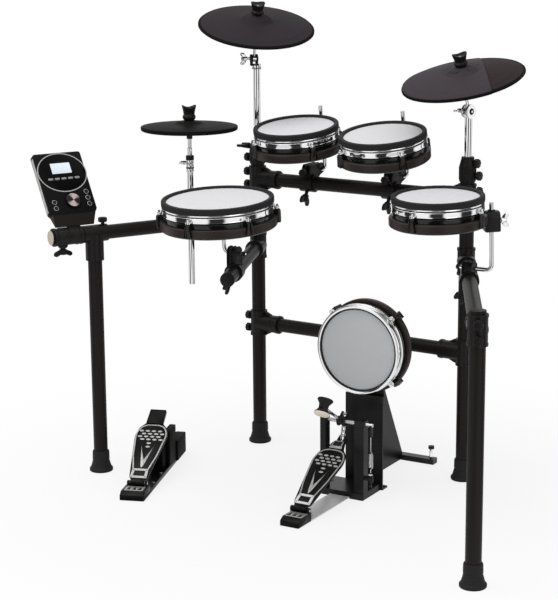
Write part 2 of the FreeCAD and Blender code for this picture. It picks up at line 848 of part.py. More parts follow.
pad_top = "hoop_low + hoop_band + hoop_groove + hoop_bead + guard_height"
for name, pad in pads.items():
    wall = pad.rim + " / 2 + shell_overhang"
    rod_out = num(wall + " + bracket_reach")
    post = spun(pad.angle) * at(rod_out, 0, 0)
    leg = Vector(post.Base.x, post.Base.y, -num(pad.drop))
    pivot = pad.spot + Vector(pad.side * num(pad.reach), num(pad.back), num(pad.up))
    place = Placement(pivot, Rotation(X, pad.tilt)) * Placement(-leg, Rotation())
    bracket_corner = at(num(wall + " - lug_root"), -d.bracket_width / 2, d.bracket_lift)
    bracket = prim("Box", spun(pad.angle) * bracket_corner,
                   Length="lug_root + bracket_reach + bracket_cheek", Width="bracket_width",
                   Height="bracket_height")
    hole = rod("rod_d / 2 + rod_fit", "bracket_height + 2 * overrun",
               post * at(0, 0, d.bracket_lift - d.overrun))
    drum(name, pad.rim, pad.lugs, pad.first, place, [bracket], [hole])
    rise = "%s - rod_bend + %s + %s" % (pad.drop, pad_top, pad.above)
    upright = rod("rod_d / 2", rise, Placement(leg + Z * d.rod_bend, Rotation()))
    inward = X * -pad.side
    elbow_turn = Rotation(-inward, -Z, inward.cross(Z), "ZXY")
    elbow = prim("Torus", Placement(leg + (Z + inward) * d.rod_bend, elbow_turn),
                 Radius1="rod_bend", Radius2="rod_d / 2")
    elbow.Angle3 = 90
    level = rod("rod_d / 2", "%s + rod_clamp_width / 2 + rod_tail - rod_bend" % pad.reach,
                Placement(leg + inward * d.rod_bend, aim(inward)))
    lock = wing_bolt(spun(pad.angle) * at(num(wall + " + bracket_reach + bracket_cheek"), 0,
                                          d.bracket_lift + d.bracket_height / 2, aim(X)))
    put(name + "_rod", group(fuse(upright, elbow, level), lock), place)
    mark(name + "_tilt", Placement(pivot, Rotation()), X)


# Cymbal pads and the stands that carry them
def cymbal_nut(name, place):
    """Large round nut over a coned washer."""
    bore = "cymbal_rod_d / 2 + nut_bore_gap"
    cone = "nut_cone + nut_washer"
    neck = cone + " + nut_neck"
    flare = neck + " + nut_flare"
    waist = flare + " + nut_body"
    top = waist + " + nut_crown"
    roof = top + " - nut_roof"
    body = turned(name + "_turned", [
        (bore, "0"), ("seat_top_d / 2", "0"), ("nut_washer_d / 2", "nut_cone"), ("nut_washer_d / 2", cone),
        ("nut_neck_d / 2", cone), ("nut_neck_d / 2", neck), ("nut_d / 2", flare), ("nut_d / 2", waist),
        ("nut_top_d / 2", top), ("0", top), ("0", roof), (bore, roof)])
    put(name, body, place)


nut_depth = "nut_cone + nut_washer + nut_neck + nut_flare + nut_body + nut_crown - nut_roof - nut_bore_gap"


def seat(level, start, depth):
    """Rod with the ball a cymbal rocks on over a coned seat; level is the underside of the bell."""
    spike = rod("cymbal_rod_d / 2", "%s - (%s) + %s + swing_gap + %s" % (level, start, depth, nut_depth),
                at(0, 0, num(start)))
    ball = prim("Sphere", at(0, 0, num(level + " - ball_drop")),
                Radius="sqrt((cymbal_hole_d / 2)^2 + ball_drop^2) - ball_fit")
    cone_low = num(level + " - swing_gap - seat_cone")
    cone = prim("Cone", at(0, 0, cone_low), Radius1="seat_d / 2", Radius2="seat_top_d / 2",
                Height="seat_cone")
    sleeve = rod("seat_sleeve_d / 2", "seat_sleeve", at(0, 0, cone_low - d.seat_sleeve))
    return [spike, ball, cone, sleeve]


def cymbal(name, diameter, place):
    """Bowed pad with a raised bell and a thick rounded edge."""
    half = diameter + " / 2"
    bow = diameter + " / 2 * bow_share"
    body = turned(name + "_turned", [
        ("cymbal_hole_d / 2", "bell_bottom"), ("bell_flat_d / 2", "bell_bottom"),
        ("bell_d / 2", "bell_root_under"), (bow, "bow_under"),
        (half + " - edge_round", "edge_under"), (half, "edge_under + edge_round"),
        (half, "edge_top - edge_round"), (half + " - edge_round", "edge_top"), (bow, "bow_top"),
        ("bell_d / 2", "bell_root"), ("bell_flat_d / 2", "bell_top"), ("cymbal_hole_d / 2", "bell_top")])
    put(name, body, place)


for name, spot in (("crash", Vector()), ("ride", right_post)):
    rise = name + "_rise"
    frame = Placement(spot + Z * (d.rear_post_height + num(rise)), Rotation(Z, num(name + "_heading")))
    base_low = d.tilter_drop + d.tilter_base
    side = num(name + "_side")
    stem = tube(rise + " - tilter_drop - tilter_base + stand_insert",
                at(0, 0, -d.stand_insert - num(rise)), "stand_tube_d / 2", "stand_tube_wall")
    foot_block = rod("tilter_base_d / 2", "tilter_base", at(0, 0, -base_low))
    inside = d.tilter_boss_width / 2 + d.hinge_gap
    ears = []
    for start in (inside, -inside - d.tilter_ear_thick):
        ears.append(block("tilter_ear_width", "tilter_ear_thick", "tilter_drop",
                          at(0, side + start + d.tilter_ear_thick / 2, -d.tilter_drop)))
        ears.append(rod(name + "_ear_d / 2", "tilter_ear_thick", at(0, side + start, 0, aim(Y))))
    pin = rod("tilter_pin_d / 2", "tilter_boss_width + 2 * hinge_gap + 2 * tilter_ear_thick",
              at(0, side - inside - d.tilter_ear_thick, 0, aim(Y)))
    screw = wing_bolt(at(0, side - inside - d.tilter_ear_thick, 0, aim(-Y)))
    put(name + "_tube", fuse(stem, foot_block, *ears, pin, screw), frame)
    leaned = frame * at(0, side, 0, Rotation(Y, num(name + "_lean")))
    level = name + "_reach + bell_bottom"
    boss = rod("tilter_boss_d / 2", "tilter_boss_width", at(0, -d.tilter_boss_width / 2, 0, aim(Y)))
    eye = rod("tilter_pin_d / 2 + running_gap", "tilter_boss_width + 2 * overrun",
              at(0, -d.tilter_boss_width / 2 - d.overrun, 0, aim(Y)))
    put(name + "_tilter", cut(fuse(boss, *seat(level, "0", "bell_top - bell_bottom")), eye), leaned)
    cymbal(name + "_pad", name + "_d", leaned * at(0, 0, num(name + "_reach")))
    cymbal_nut(name + "_nut", leaned * at(0, 0, num(name + "_reach + bell_top + swing_gap")))
    mark(name + "_height", frame, Z)
    mark(name + "_tilt", frame, Y)
    mark(name + "_swing", leaned * at(0, 0, num(level + " - ball_drop")), Y)

hat_axis = hat_place * at(d.hat_offset, 0, 0)
hat_floor = Placement(Vector(hat_axis.Base.x, hat_axis.Base.y, 0), left_inner)
hat_level = "hat_height + hat_bell_under"
hat_joint_top = "hat_tube_top + hat_joint"
hat_tube = rod("hat_tube_d / 2", "hat_tube_top - hat_tube_low", at(0, 0, d.hat_tube_low))
hat_joint = rod("hat_joint_d / 2", "hat_joint", at(0, 0, d.hat_tube_top))
hat_screw = wing_bolt(at(-d.hat_joint_d / 2, 0, d.hat_tube_top + d.hat_joint / 2, aim(-X)))
put("hihat_stand", fuse(hat_tube, hat_joint, hat_screw,
                        *seat(hat_level, hat_joint_top, "hat_bell_top - hat_bell_under")), hat_floor)
hat_half = "hat_d / 2"
hat_pad = turned("hihat_turned", [
    ("cymbal_hole_d / 2", "hat_bell_under"), ("hat_flat_d / 2", "hat_bell_under"),
    ("hat_bell_d / 2", "hat_under"), (hat_half + " - hat_round", "hat_under"),
    (hat_half, "hat_under + hat_round"), (hat_half, "hat_edge - hat_round"),
    (hat_half + " - hat_round", "hat_edge"), ("hat_bell_d / 2", "hat_bow"),
    ("hat_flat_d / 2", "hat_bell_top"), ("cymbal_hole_d / 2", "hat_bell_top")])
put("hihat_pad", hat_pad, hat_floor * at(0, 0, d.hat_height))
cymbal_nut("hihat_nut", hat_floor * at(0, 0, num("hat_height + hat_bell_top + swing_gap")))
mark("hihat_height", hat_floor, Z)
mark("hihat_swing", hat_floor * at(0, 0, num(hat_level + " - ball_drop")), Y)

# Kick pad on its tower
kick = at(d.kick_right, d.kick_back, 0, Rotation(Z, d.kick_turn))
kick_back = "kick_head_set + edge_height + skin_gap + head_thick"
drum("kick", "kick_rim_d", d.kick_lug_count, d.kick_lug_angle,
     kick * at(d.kick_side, num(kick_back), d.kick_height, Rotation(X, 90)))
back_plate = kick_back + " + skin_gap"
fin_front = "tower_front + tower_plate / 2"
fin_back = back_plate + " + tower_plate / 2"
fin = slab("tower_fin", "YZ_Plane", [
    (fin_front, "0"), (fin_front, "tower_height"), (fin_back, "tower_height"), (fin_back, "tower_top"),
    ("tower_fin_top", "tower_top"), ("tower_tail", "tower_tail_height"), ("tower_tail", "0")], "tower_fin")
fin.Placement = at(d.tower_fin_side, 0, 0)
front = block("tower_width", "tower_plate", "tower_height", at(0, num(fin_front), 0))
behind = block("tower_back_width", "tower_plate", "tower_top - tower_back_low",
               at(d.kick_side, num(fin_back), d.tower_back_low))
toe_plate = block("tower_width", "tower_foot", "tower_foot_height",
                  at(0, num("tower_front + tower_foot / 2"), 0))
tail_bar = block("tower_bar_length", "tower_bar_depth", "tower_bar_height", at(0, d.tower_tail, 0))
spikes = []
for side in (-1, 1):
    spike_x = side * num("tower_bar_length / 2 - spike_inset")
    spikes.append(rod("spike_d / 2", "spike_height", at(spike_x, d.tower_tail, 0)))
    spikes.append(rod("spike_head_d / 2", "spike_head", at(spike_x, d.tower_tail, d.spike_height)))
put("kick_tower", fuse(front, behind, toe_plate, tail_bar, fin, *spikes), kick)

# Kick pedal: base with heel plate, frame, cam with beater, chain and footboard
pedal = kick * at(d.pedal_offset, 0, 0)
heel = slab("heel_block", "YZ_Plane", [
    ("heel_front", "0"), ("heel_back", "0"), ("heel_back", "heel_height"),
    ("heel_front + heel_nose", "heel_height"), ("heel_front", "heel_nose")], "heel_width")


def heel_ears(width, back, height):
    """Two ears and the pin the footboard turns on."""
    parts = []
    for side in (-1, 1):
        middle = side * num("(%s - heel_ear) / 2" % width)
        parts.append(rod("heel_ear_d / 2", "heel_ear", at(middle - d.heel_ear / 2, back, height, aim(X))))
        parts.append(block("heel_ear", "heel_ear_d", "heel_hinge_height - heel_height + heel_nose",
                           at(middle, back, d.heel_height - d.heel_nose)))
    parts.append(rod("hinge_pin_d / 2", width, at(-num(width) / 2, back, height, aim(X))))
    return parts


plate = block("plate_width", "plate_end - heel_back + overrun", "plate_thick",
              at(0, num("(plate_end + heel_back - overrun) / 2"), d.plate_lift))
put("pedal_base", fuse(heel, plate, *heel_ears("heel_width", d.heel_hinge, d.heel_hinge_height)), pedal)

post_low = "plate_lift + plate_thick + skin_gap"
casting_back = "tower_front - skin_gap"
casting_middle = num("(casting_front + %s) / 2" % casting_back)
casting_depth = casting_back + " - casting_front"
casting = [block("casting_width", casting_depth, "casting_height - (%s)" % post_low,
                 at(0, casting_middle, num(post_low)))]
for side in (-1, 1):
    wing_middle = side * num("(casting_width + plate_width) / 4 + seat_gap / 2")
    casting.append(block("(casting_width - plate_width) / 2 - seat_gap", casting_depth, "casting_height",
                         at(wing_middle, casting_middle, 0)))
for place_x, width in ((-d.post_left, "post_left_width"), (d.post_right, "post_right_width")):
    casting.append(block(width, "post_depth", "shaft_height + post_cap - (%s)" % post_low,
                         at(place_x, d.shaft_back, num(post_low))))
lever_tip = Rotation(X, -d.lever_angle).multVec(Y * d.lever_reach)
spring_back = d.shaft_back + lever_tip.y
casting.append(block("lever_side - post_right", "adjuster_arm_depth", "adjuster_arm",
                     at(num("(lever_side + post_right) / 2"), spring_back, d.adjuster_arm_height)))
casting.append(rod("adjuster_arm_depth / 2", "adjuster_arm",
                   at(d.lever_side, spring_back, d.adjuster_arm_height)))
casting.append(rod("adjuster_d / 2", "spring_foot - adjuster_low - skin_gap",
                   at(d.lever_side, spring_back, d.adjuster_low)))
for rise in (d.adjuster_arm_height - d.adjuster_nut, d.adjuster_arm_height + d.adjuster_arm):
    casting.append(rod("adjuster_nut_d / 2", "adjuster_nut", at(d.lever_side, spring_back, rise)))
bearing = rod("shaft_d / 2 + running_gap", "2 * casting_width",
              at(-d.casting_width, d.shaft_back, d.shaft_height, aim(X)))
put("pedal_frame", cut(fuse(*casting), bearing), pedal)

shaft_place = pedal * at(0, d.shaft_back, d.shaft_height)
cam_tip = Rotation(X, d.cam_pin_angle).multVec(Y * d.cam_pin_reach)
beater_run = Rotation(X, -d.beater_angle).multVec(-Y)
cam_half = d.cam_gap / 2 + d.cam_cheek
cam = [rod("shaft_d / 2", "shaft_left + shaft_right", at(-d.shaft_left, 0, 0, aim(X))),
       rod("cam_hub_d / 2", "cam_gap", at(-d.cam_gap / 2, 0, 0, aim(X))),
       rod("cam_pin_d / 2", "cam_gap + 2 * cam_cheek", Placement(cam_tip - X * cam_half, aim(X)))]
for start in (d.cam_gap / 2, -cam_half):
    cam.append(rod("cam_cheek_d / 2", "cam_cheek", at(start, 0, 0, aim(X))))
    cam.append(block("cam_cheek", "cam_pin_d * 2", "cam_pin_reach",
                     Placement(X * (start + d.cam_cheek / 2), axes(X, cam_tip))))
    cam.append(rod("cam_pin_d", "cam_cheek", Placement(cam_tip + X * start, aim(X))))
cam.append(rod("beater_rod_d / 2", "beater_reach + beater_tail", Placement(Vector(), aim(beater_run))))
cam.append(rod("beater_socket_d / 2", "beater_socket", Placement(Vector(), aim(beater_run))))
cam.append(block("lever_thick", "lever_width", "lever_reach",
                 Placement(X * d.lever_side, axes(X, lever_tip))))
cam.append(rod("lever_width / 2", "lever_thick",
               Placement(lever_tip + X * (d.lever_side - d.lever_thick / 2), aim(X))))
put("cam_shaft", fuse(*cam), shaft_place)
mark("beater_swing", shaft_place, -X)

strike = Rotation(X, -d.beater_angle).multVec(Z)
beater_place = shaft_place * Placement(beater_run * d.beater_reach, axes(X, strike))
beater_turned = turned("beater_turned", [
    ("0", "-beater_back"), ("beater_d / 2", "-beater_back"),
    ("beater_d / 2", "-beater_back + beater_felt + beater_lip"),
    ("beater_waist_d / 2", "-beater_waist"), ("beater_waist_d / 2", "beater_waist"),
    ("beater_d / 2", "beater_back - beater_lip"), ("beater_d / 2", "beater_back"), ("0", "beater_back")])
beater_bore = rod("beater_rod_d / 2 + skin_gap", "4 * beater_back", at(0, d.beater_back * 2, 0, aim(-Y)))
put("beater_head", cut(beater_turned, beater_bore), beater_place)

toe = Vector(0, d.heel_hinge + d.toe_back, d.heel_hinge_height + d.toe_rise)
cam_pin = Vector(0, d.shaft_back, d.shaft_height) + cam_tip
chain_run = toe - cam_pin
chain_length = chain_run.Length
chain_span = "sqrt((heel_hinge + toe_back - shaft_back - cam_pin_reach * cos(cam_pin_angle * 1deg))^2" \
    " + (heel_hinge_height + toe_rise - shaft_height - cam_pin_reach * sin(cam_pin_angle * 1deg))^2)"
links = [block("chain_thick", "chain_width", chain_span)]
for index in range(int(d.chain_link_count) + 1):
    roll = chain_length * index / d.chain_link_count
    links.append(rod("chain_roller_d / 2", "cam_gap - 2 * hinge_gap",
                     at(-num("cam_gap / 2 - hinge_gap"), 0, roll, aim(X))))
chain_eye = rod("cam_pin_d / 2 + running_gap", "2 * cam_gap", at(-d.cam_gap, 0, 0, aim(X)))
put("pedal_chain", cut(fuse(*links), chain_eye), pedal * Placement(cam_pin, axes(X, chain_run)))
mark("chain_turn", pedal * Placement(cam_pin, Rotation()), -X)

side_marks = (("board_start", "board_heel_width"), ("board_mid", "board_mid_width"),
              ("board_wide", "board_wide_width"), ("board_shoulder", "board_shoulder_width"),
              ("board_neck", "board_neck_width"))


def upright_edge(edge):
    """True for an edge square to its plate or close to it."""
    return abs(edge.tangentAt(edge.FirstParameter).z) > upright_share


def footboard(label, place, toe_end, toe_width, cheeks=()):
    """Sloping board with a knuckle at the heel, and the cheeks of a clip at the toe."""
    edge = [(width + " / 2", along) for along, width in side_marks + ((toe_end, toe_width),)]
    corners = edge + [("-" + across, along) for across, along in reversed(edge)]
    plank = slab(label + "_plank", "XY_Plane", corners, "board_thick", upright_edge, "board_round")
    plank.Placement = at(0, 0, num("board_lift + board_thick / 2"))
    knuckle = rod("board_knuckle_d / 2", "board_knuckle", at(-d.board_knuckle / 2, 0, 0, aim(X)))
    tongue = block("board_knuckle", "board_start + 2 * board_round", "board_thick",
                   at(0, num("board_start / 2 + board_round"), d.board_lift))
    bore = rod("hinge_pin_d / 2 + running_gap", "2 * board_knuckle", at(-d.board_knuckle, 0, 0, aim(X)))
    put(label, cut(fuse(plank, tongue, knuckle, *cheeks), bore), place)


board_slope = Rotation(X, math.degrees(math.atan2(d.toe_rise, d.toe_back)))
board_place = pedal * at(0, d.heel_hinge, d.heel_hinge_height, board_slope)
clip_middle = num("sqrt(toe_back^2 + toe_rise^2) + (clip_front - clip_tail) / 2")
clip = [block("clip_plate", "clip_tail + clip_front", "clip_low + board_lift + board_thick",
              at(side * num("(clip_gap + clip_plate) / 2"), clip_middle, -d.clip_low)) for side in (-1, 1)]
footboard("footboard", board_place, "board_end", "board_toe_width", clip)
mark("footboard_press", pedal * at(0, d.heel_hinge, d.heel_hinge_height), -X)


# Return spring of the pedal: one wire, straight at both ends
def bent(start, run, end):
    """Arc that leaves its start along a direction and reaches its end."""
    chord = end - start
    along = chord.normalize()
    span = (end - start).Length
    lean = run - along * run.dot(along)
    if lean.Length < straight_share:
        return Part.LineSegment(start, end).toShape()
    bulge = span / 2 * math.tan(run.getAngle(along) / 2)
    return Part.Arc(start, (start + end) * 0.5 + lean.normalize() * bulge, end).toShape()


def biarc(start, leave, end, arrive):
    """Two arcs that join two points and keep both directions."""
    leave = Vector(leave).normalize()
    arrive = Vector(arrive).normalize()
    gap = end - start
    both = leave + arrive
    grow = 2 * (1 - leave.dot(arrive))
    reach = (math.sqrt(gap.dot(both) ** 2 + grow * gap.dot(gap)) - gap.dot(both)) / grow
    middle = (start + end + (leave - arrive) * reach) * 0.5
    first = bent(start, leave, middle)
    last = bent(end, -arrive, middle)
    return [first, last]


spring_radius = (d.spring_d - d.spring_wire) / 2
spring_pitch = (d.spring_high - d.spring_low) / d.spring_turn_count
quarters = int(d.spring_turn_count) * 4
coil = []
for index in range(quarters + 1):
    turn = index * math.pi / 2
    outward = Vector(math.cos(turn), math.sin(turn), 0) * spring_radius
    spot = outward + Z * (d.spring_low + spring_pitch * index / 4)
    coil.append((spot, Z.cross(outward) + Z * spring_pitch / (2 * math.pi)))
lower_end = (Z * (d.spring_low - d.spring_lead), Z)
upper_end = (Z * (d.spring_high + d.spring_lead), Z)
stations = [lower_end] + coil + [upper_end]
wire_edges = [Part.LineSegment(Z * d.spring_foot, lower_end[0]).toShape()]
for (start, leave), (end, arrive) in zip(stations, stations[1:]):
    wire_edges += biarc(start, leave, end, arrive)
wire_edges.append(Part.LineSegment(upper_end[0], Z * d.spring_top).toShape())
spine = Part.Wire(Part.__sortEdges__(wire_edges))
profile = Part.Wire(Part.Circle(Z * d.spring_foot, Z, d.spring_wire / 2).toShape())
spring = doc.addObject("Part::Feature", "spring")
spring.Shape = spine.makePipeShell([profile], True, False)
put("pedal_spring", spring, pedal * at(d.lever_side, spring_back, 0))
samples_per_arc = 8
arcs_apart = 3
track = []
for edge in spine.Edges:
    stretch = (edge.LastParameter - edge.FirstParameter) / samples_per_arc
    track += [edge.valueAt(edge.FirstParameter + stretch * step) for step in range(samples_per_arc)]
apart = min((one - two).Length for index, one in enumerate(track)
            for two in track[index + arcs_apart * samples_per_arc:])
print("spring self gap mm", round(apart - d.spring_wire, 3))

# Hi-hat foot controller
controller = at(d.controller_right, d.controller_back, 0, Rotation(Z, d.controller_turn))
heel_two = slab("controller_heel", "YZ_Plane", [
    ("0", "0"), ("heel_back - heel_front", "0"), ("heel_back - heel_front", "heel_height"),
    ("heel_nose", "heel_height"), ("0", "heel_nose")], "controller_width")
sole = block("controller_width", "controller_length", "controller_floor", at(0, d.controller_length / 2, 0))
rest = block("controller_block_width", "controller_block_length", "controller_block_height",
             at(0, num("controller_block_start + controller_block_length / 2"), 0))
side_box = block("controller_side_width", "controller_step_start - controller_side_start",
                 "controller_side_height",
                 at(d.controller_side, num("(controller_step_start + controller_side_start) / 2"), 0))
step_box = block("controller_step_width", "controller_length - controller_step_start",
                 "controller_step_height",
                 at(d.controller_side, num("(controller_length + controller_step_start) / 2"), 0))
put("controller_base", fuse(heel_two, sole, rest, side_box, step_box,
                            *heel_ears("heel_width", d.controller_hinge, d.heel_hinge_height)), controller)
footboard("controller_footboard", controller * at(0, d.controller_hinge, d.heel_hinge_height, board_slope),
          "controller_toe", "board_neck_width")
mark("controller_press", controller * at(0, d.controller_hinge, d.heel_hinge_height), -X)

# Sound module on the left bar
inward = Z.cross(left_run)
lean = math.radians(d.module_lean)
face_up = Z * math.cos(lean) - inward * math.sin(lean)
face_out = inward * math.cos(lean) + Z * math.sin(lean)
bar_spot = left_run * (d.left_wing_length + d.module_along) + Z * d.left_bar_height
module = Placement(bar_spot + inward * d.module_forward + Z * d.module_rise,
                   Rotation(-left_run, face_up, face_out, "ZXY"))


case = slab("module_block", "YZ_Plane", [
    ("0", "0"), ("module_length", "0"), ("module_length", "-module_depth"), ("-module_lip", "-module_depth")],
    "module_width", upright_edge, "module_round")


def oval(width, length, height, low):
    """Flat oval plate on the face."""
    rim = prim("Ellipse", MajorRadius=width + " / 2", MinorRadius=length + " / 2")
    plate_out = doc.addObject("Part::Extrusion", "oval")
    plate_out.Base = rim
    plate_out.DirMode = "Custom"
    plate_out.Dir = Z
    plate_out.Solid = True
    plate_out.setExpression("LengthFwd", linked(height))
    plate_out.Placement = at(0, d.ring_centre, low)
    return plate_out


ring = cut(oval("ring_width", "ring_length", "ring_height + overrun", -d.overrun),
           oval("ring_width - 2 * ring_edge", "ring_length - 2 * ring_edge", "ring_height + 2 * overrun", 0))
key_first = -d.key_pitch * (d.key_count - 1) / 2
keys = [block("key_width", "key_length", "key_height", at(key_first + index * d.key_pitch, d.key_centre, 0))
        for index in range(int(d.key_count))]
screen_low = num("screen_proud - screen_thick")
screen_well = block("screen_width + 2 * screen_fit", "screen_length + 2 * screen_fit",
                    "screen_thick + overrun", at(0, d.screen_centre, screen_low - d.skin_gap))
button_spots = []
for side in ("right_button", "left_button"):
    for index in range(int(num(side + "_count"))):
        spot = (num(side + "_column"), num(side + "_low") + index * num(side + "_pitch"))
        button_spots.append(("%s_%d" % (side, index + 1), *spot))
wells = [rod("button_d / 2 + button_gap", "button_well + overrun", at(x, y, -d.button_well))
         for _, x, y in button_spots]
put("module_case", cut(fuse(case, ring, *keys), screen_well, *wells), module)
put("module_screen", block("screen_width", "screen_length", "screen_thick"), module * at(
    -d.screen_width / 2, d.screen_centre - d.screen_length / 2, screen_low))
for name, x, y in button_spots:
    put(name, rod("button_d / 2", "button_proud + button_sunk"), module * at(x, y, -d.button_sunk))
    mark(name, module * at(x, y, 0), -Z)
dial = turned("dial_turned", [
    ("0", "0"), ("dial_d / 2", "0"), ("dial_top_d / 2", "dial_height"), ("0", "dial_height")])
dial_place = module * at(d.dial_right, d.dial_centre, d.hinge_gap)
put("module_dial", dial, dial_place)
mark("dial_turn", dial_place, Z)

bar_in_module = module.inverse() * Placement(bar_spot, Rotation())
sleeve_y = bar_in_module.Base.y
sleeve_z = bar_in_module.Base.z
sleeve_up = "module_forward * sin(module_lean * 1deg) - module_rise * cos(module_lean * 1deg)"
neck_top = "mount_plate_low + mount_plate_length / 2"
mount_length = "mount_sleeve_left + mount_sleeve_right"
sleeve = rod("mount_sleeve_d / 2", mount_length, at(-d.mount_sleeve_left, sleeve_y, sleeve_z, aim(X)))
sleeve_bore = rod("tube_d / 2 + running_gap", mount_length + " + 2 * overrun",
                  at(-d.mount_sleeve_left - d.overrun, sleeve_y, sleeve_z, aim(X)))
back_face = -d.module_depth - d.skin_gap
mount_back = block("mount_plate_width", "mount_plate_length", "mount_plate",
                   at(0, num("mount_plate_low + mount_plate_length / 2"), back_face - d.mount_plate))
neck = block("mount_neck_width", "mount_neck_depth", "%s - (%s)" % (neck_top, sleeve_up),
             at(0, sleeve_y, back_face - d.mount_neck_depth / 2, aim(Y)))
down = module.Rotation.inverted().multVec(-Z)
mount_wing = wing_bolt(Placement(
    Vector(-d.mount_wing_left, sleeve_y, sleeve_z) + down * d.mount_sleeve_d / 2, aim(down)))
put("module_mount", fuse(cut(fuse(sleeve, neck), sleeve_bore), mount_back, mount_wing), module)
mark("module_tilt", Placement(bar_spot, Rotation()), left_run)

doc.recompute()
for item in doc.Objects:
    if "Invalid" in item.State or "Error" in item.State:
        raise RuntimeError(item.Name + " failed: " + ", ".join(item.State))
os.makedirs("parts", exist_ok=True)
for label, item in nodes.items():
    if item.Shape.isNull() or not item.Shape.isValid():
        raise RuntimeError(label + " has no valid shape")
    item.Shape.exportStep("parts/%s.step" % label)
for name, (spot, run) in points.items():
    print(name, [round(value, 4) for value in spot], [round(value, 6) for value in run])
whole = Part.makeCompound([item.Shape for item in nodes.values()]).BoundBox
print("box", [round(value, 3) for value in (whole.XMin, whole.YMin, whole.ZMin)],
      [round(value, 3) for value in (whole.XMax, whole.YMax, whole.ZMax)])
print(len(nodes), "nodes")
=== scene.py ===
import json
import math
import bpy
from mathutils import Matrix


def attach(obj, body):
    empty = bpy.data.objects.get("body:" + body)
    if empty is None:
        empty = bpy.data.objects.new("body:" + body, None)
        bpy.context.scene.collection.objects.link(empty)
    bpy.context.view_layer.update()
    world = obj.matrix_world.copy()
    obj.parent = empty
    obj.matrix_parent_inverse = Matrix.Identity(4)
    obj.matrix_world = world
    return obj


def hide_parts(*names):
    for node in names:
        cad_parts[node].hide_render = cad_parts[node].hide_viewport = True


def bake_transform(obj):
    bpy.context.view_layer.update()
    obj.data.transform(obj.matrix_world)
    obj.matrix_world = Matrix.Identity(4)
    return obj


bl_info = {
    "name": "Electronic drum kit",
    "version": (1, 0, 0),
    "blender": (4, 5, 0),
    "location": "View3D > Sidebar > Drum kit",
    "description": "Dresses the packed electronic drum kit with its finished pieces and materials",
    "category": "Object",
}

from collections import namedtuple

import bpy
import numpy as np
from mathutils import Matrix, Vector

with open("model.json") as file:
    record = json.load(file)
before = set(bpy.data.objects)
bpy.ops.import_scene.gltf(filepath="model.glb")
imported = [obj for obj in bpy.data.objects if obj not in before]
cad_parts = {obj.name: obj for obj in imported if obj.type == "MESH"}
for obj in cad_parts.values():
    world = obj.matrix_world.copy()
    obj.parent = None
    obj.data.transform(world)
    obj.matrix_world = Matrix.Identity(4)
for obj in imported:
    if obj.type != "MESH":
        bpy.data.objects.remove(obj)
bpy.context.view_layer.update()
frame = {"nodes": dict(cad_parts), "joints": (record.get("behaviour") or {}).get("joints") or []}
JOINTS = {joint["name"]: joint for joint in frame["joints"]}

# Shapes are worked out in millimetres; Blender's own units are metres.
MM = 0.001
TINY = 1e-6
END_SHARE = 0.2
CORNER_SHARE = 0.45
WIDE_SHARE = 0.95
PARALLEL = 0.999
LEAST_OPENING = 0.2
SHARP_ANGLE = 34.0
X, Y, Z = np.eye(3)
HERE = np.eye(4)
Shape = namedtuple("Shape", "points faces")
Spun = namedtuple("Spun", "centre axis low high radius")


# Places
def unit(run):
    """Direction of a vector."""
    run = np.asarray(run, float)
    return run / np.linalg.norm(run)


def place_at(origin, up=Z, side=X):
    """Place whose Z runs along up and whose X is as near to side as it can be."""
    up = unit(up)
    side = np.asarray(side, float)
    if abs(np.dot(unit(side), up)) > PARALLEL:
        side = np.roll(side, 1)
    side = unit(side - np.dot(side, up) * up)
    place = np.eye(4)
    place[:3, 0] = side
    place[:3, 1] = np.cross(up, side)
    place[:3, 2] = up
    place[:3, 3] = origin
    return place


def at(x=0.0, y=0.0, z=0.0):
    """Place moved along the axes."""
    place = np.eye(4)
    place[:3, 3] = (x, y, z)
    return place


def turned_by(degrees, axis="Z"):
    """Place turned about an axis."""
    return np.array(Matrix.Rotation(math.radians(degrees), 4, axis))


def spot(place, x=0.0, y=0.0, z=0.0):
    return (place @ np.array((x, y, z, 1.0)))[:3]


def crosswise(place):
    """Place turned so that its Z runs along the old X."""
    return place @ turned_by(90, "Y")


def moved(shape, place):
    """Shape put at a place."""
    return Shape(shape.points @ place[:3, :3].T + place[:3, 3], shape.faces)


def joined(*shapes):
    """Several shapes as one."""
    faces = []
    start = 0
    for shape in shapes:
        faces += [tuple(start + corner for corner in face) for face in shape.faces]
        start += len(shape.points)
    return Shape(np.vstack([shape.points for shape in shapes]), faces)


# Outlines and solids
def rounded(corners, radius, closed=True, steps=3):
    """Corners swapped for short curves; an open line keeps its two ends."""
    corners = np.array(corners, float)
    line = []
    for index, corner in enumerate(corners):
        if not closed and index in (0, len(corners) - 1):
            line.append(corner)
            continue
        ends = []
        for other in (corners[index - 1], corners[(index + 1) % len(corners)]):
            span = np.linalg.norm(other - corner)
            ends.append(corner + (other - corner) * min(radius / span, CORNER_SHARE))
        for share in np.linspace(0, 1, steps + 1):
            line.append((1 - share) ** 2 * ends[0] + 2 * share * (1 - share) * corner + share ** 2 * ends[1])
    return np.array(line)


def signed_area(outline):
    """Area of a closed outline, positive where it runs anticlockwise."""
    x, y = outline[:, 0], outline[:, 1]
    return 0.5 * np.sum(x * np.roll(y, -1) - np.roll(x, -1) * y)


def skin(rows, closed):
    """Faces between rows of points; a row of one point closes to a fan."""
    points = np.vstack(rows)
    starts = np.cumsum([0] + [len(row) for row in rows])
    count = max(len(row) for row in rows)
    faces = []
    pairs = list(range(len(rows) - 1)) + ([-1] if closed else [])
    for first in pairs:
        low, high = rows[first], rows[first + 1]
        low_start, high_start = starts[first % len(rows)], starts[first + 1]
        for step in range(count):
            after = (step + 1) % count
            face = [low_start + step, low_start + after] if len(low) > 1 else [low_start]
            face += [high_start + after, high_start + step] if len(high) > 1 else [high_start]
            faces.append(tuple(int(corner) for corner in face))
    return Shape(points, faces)


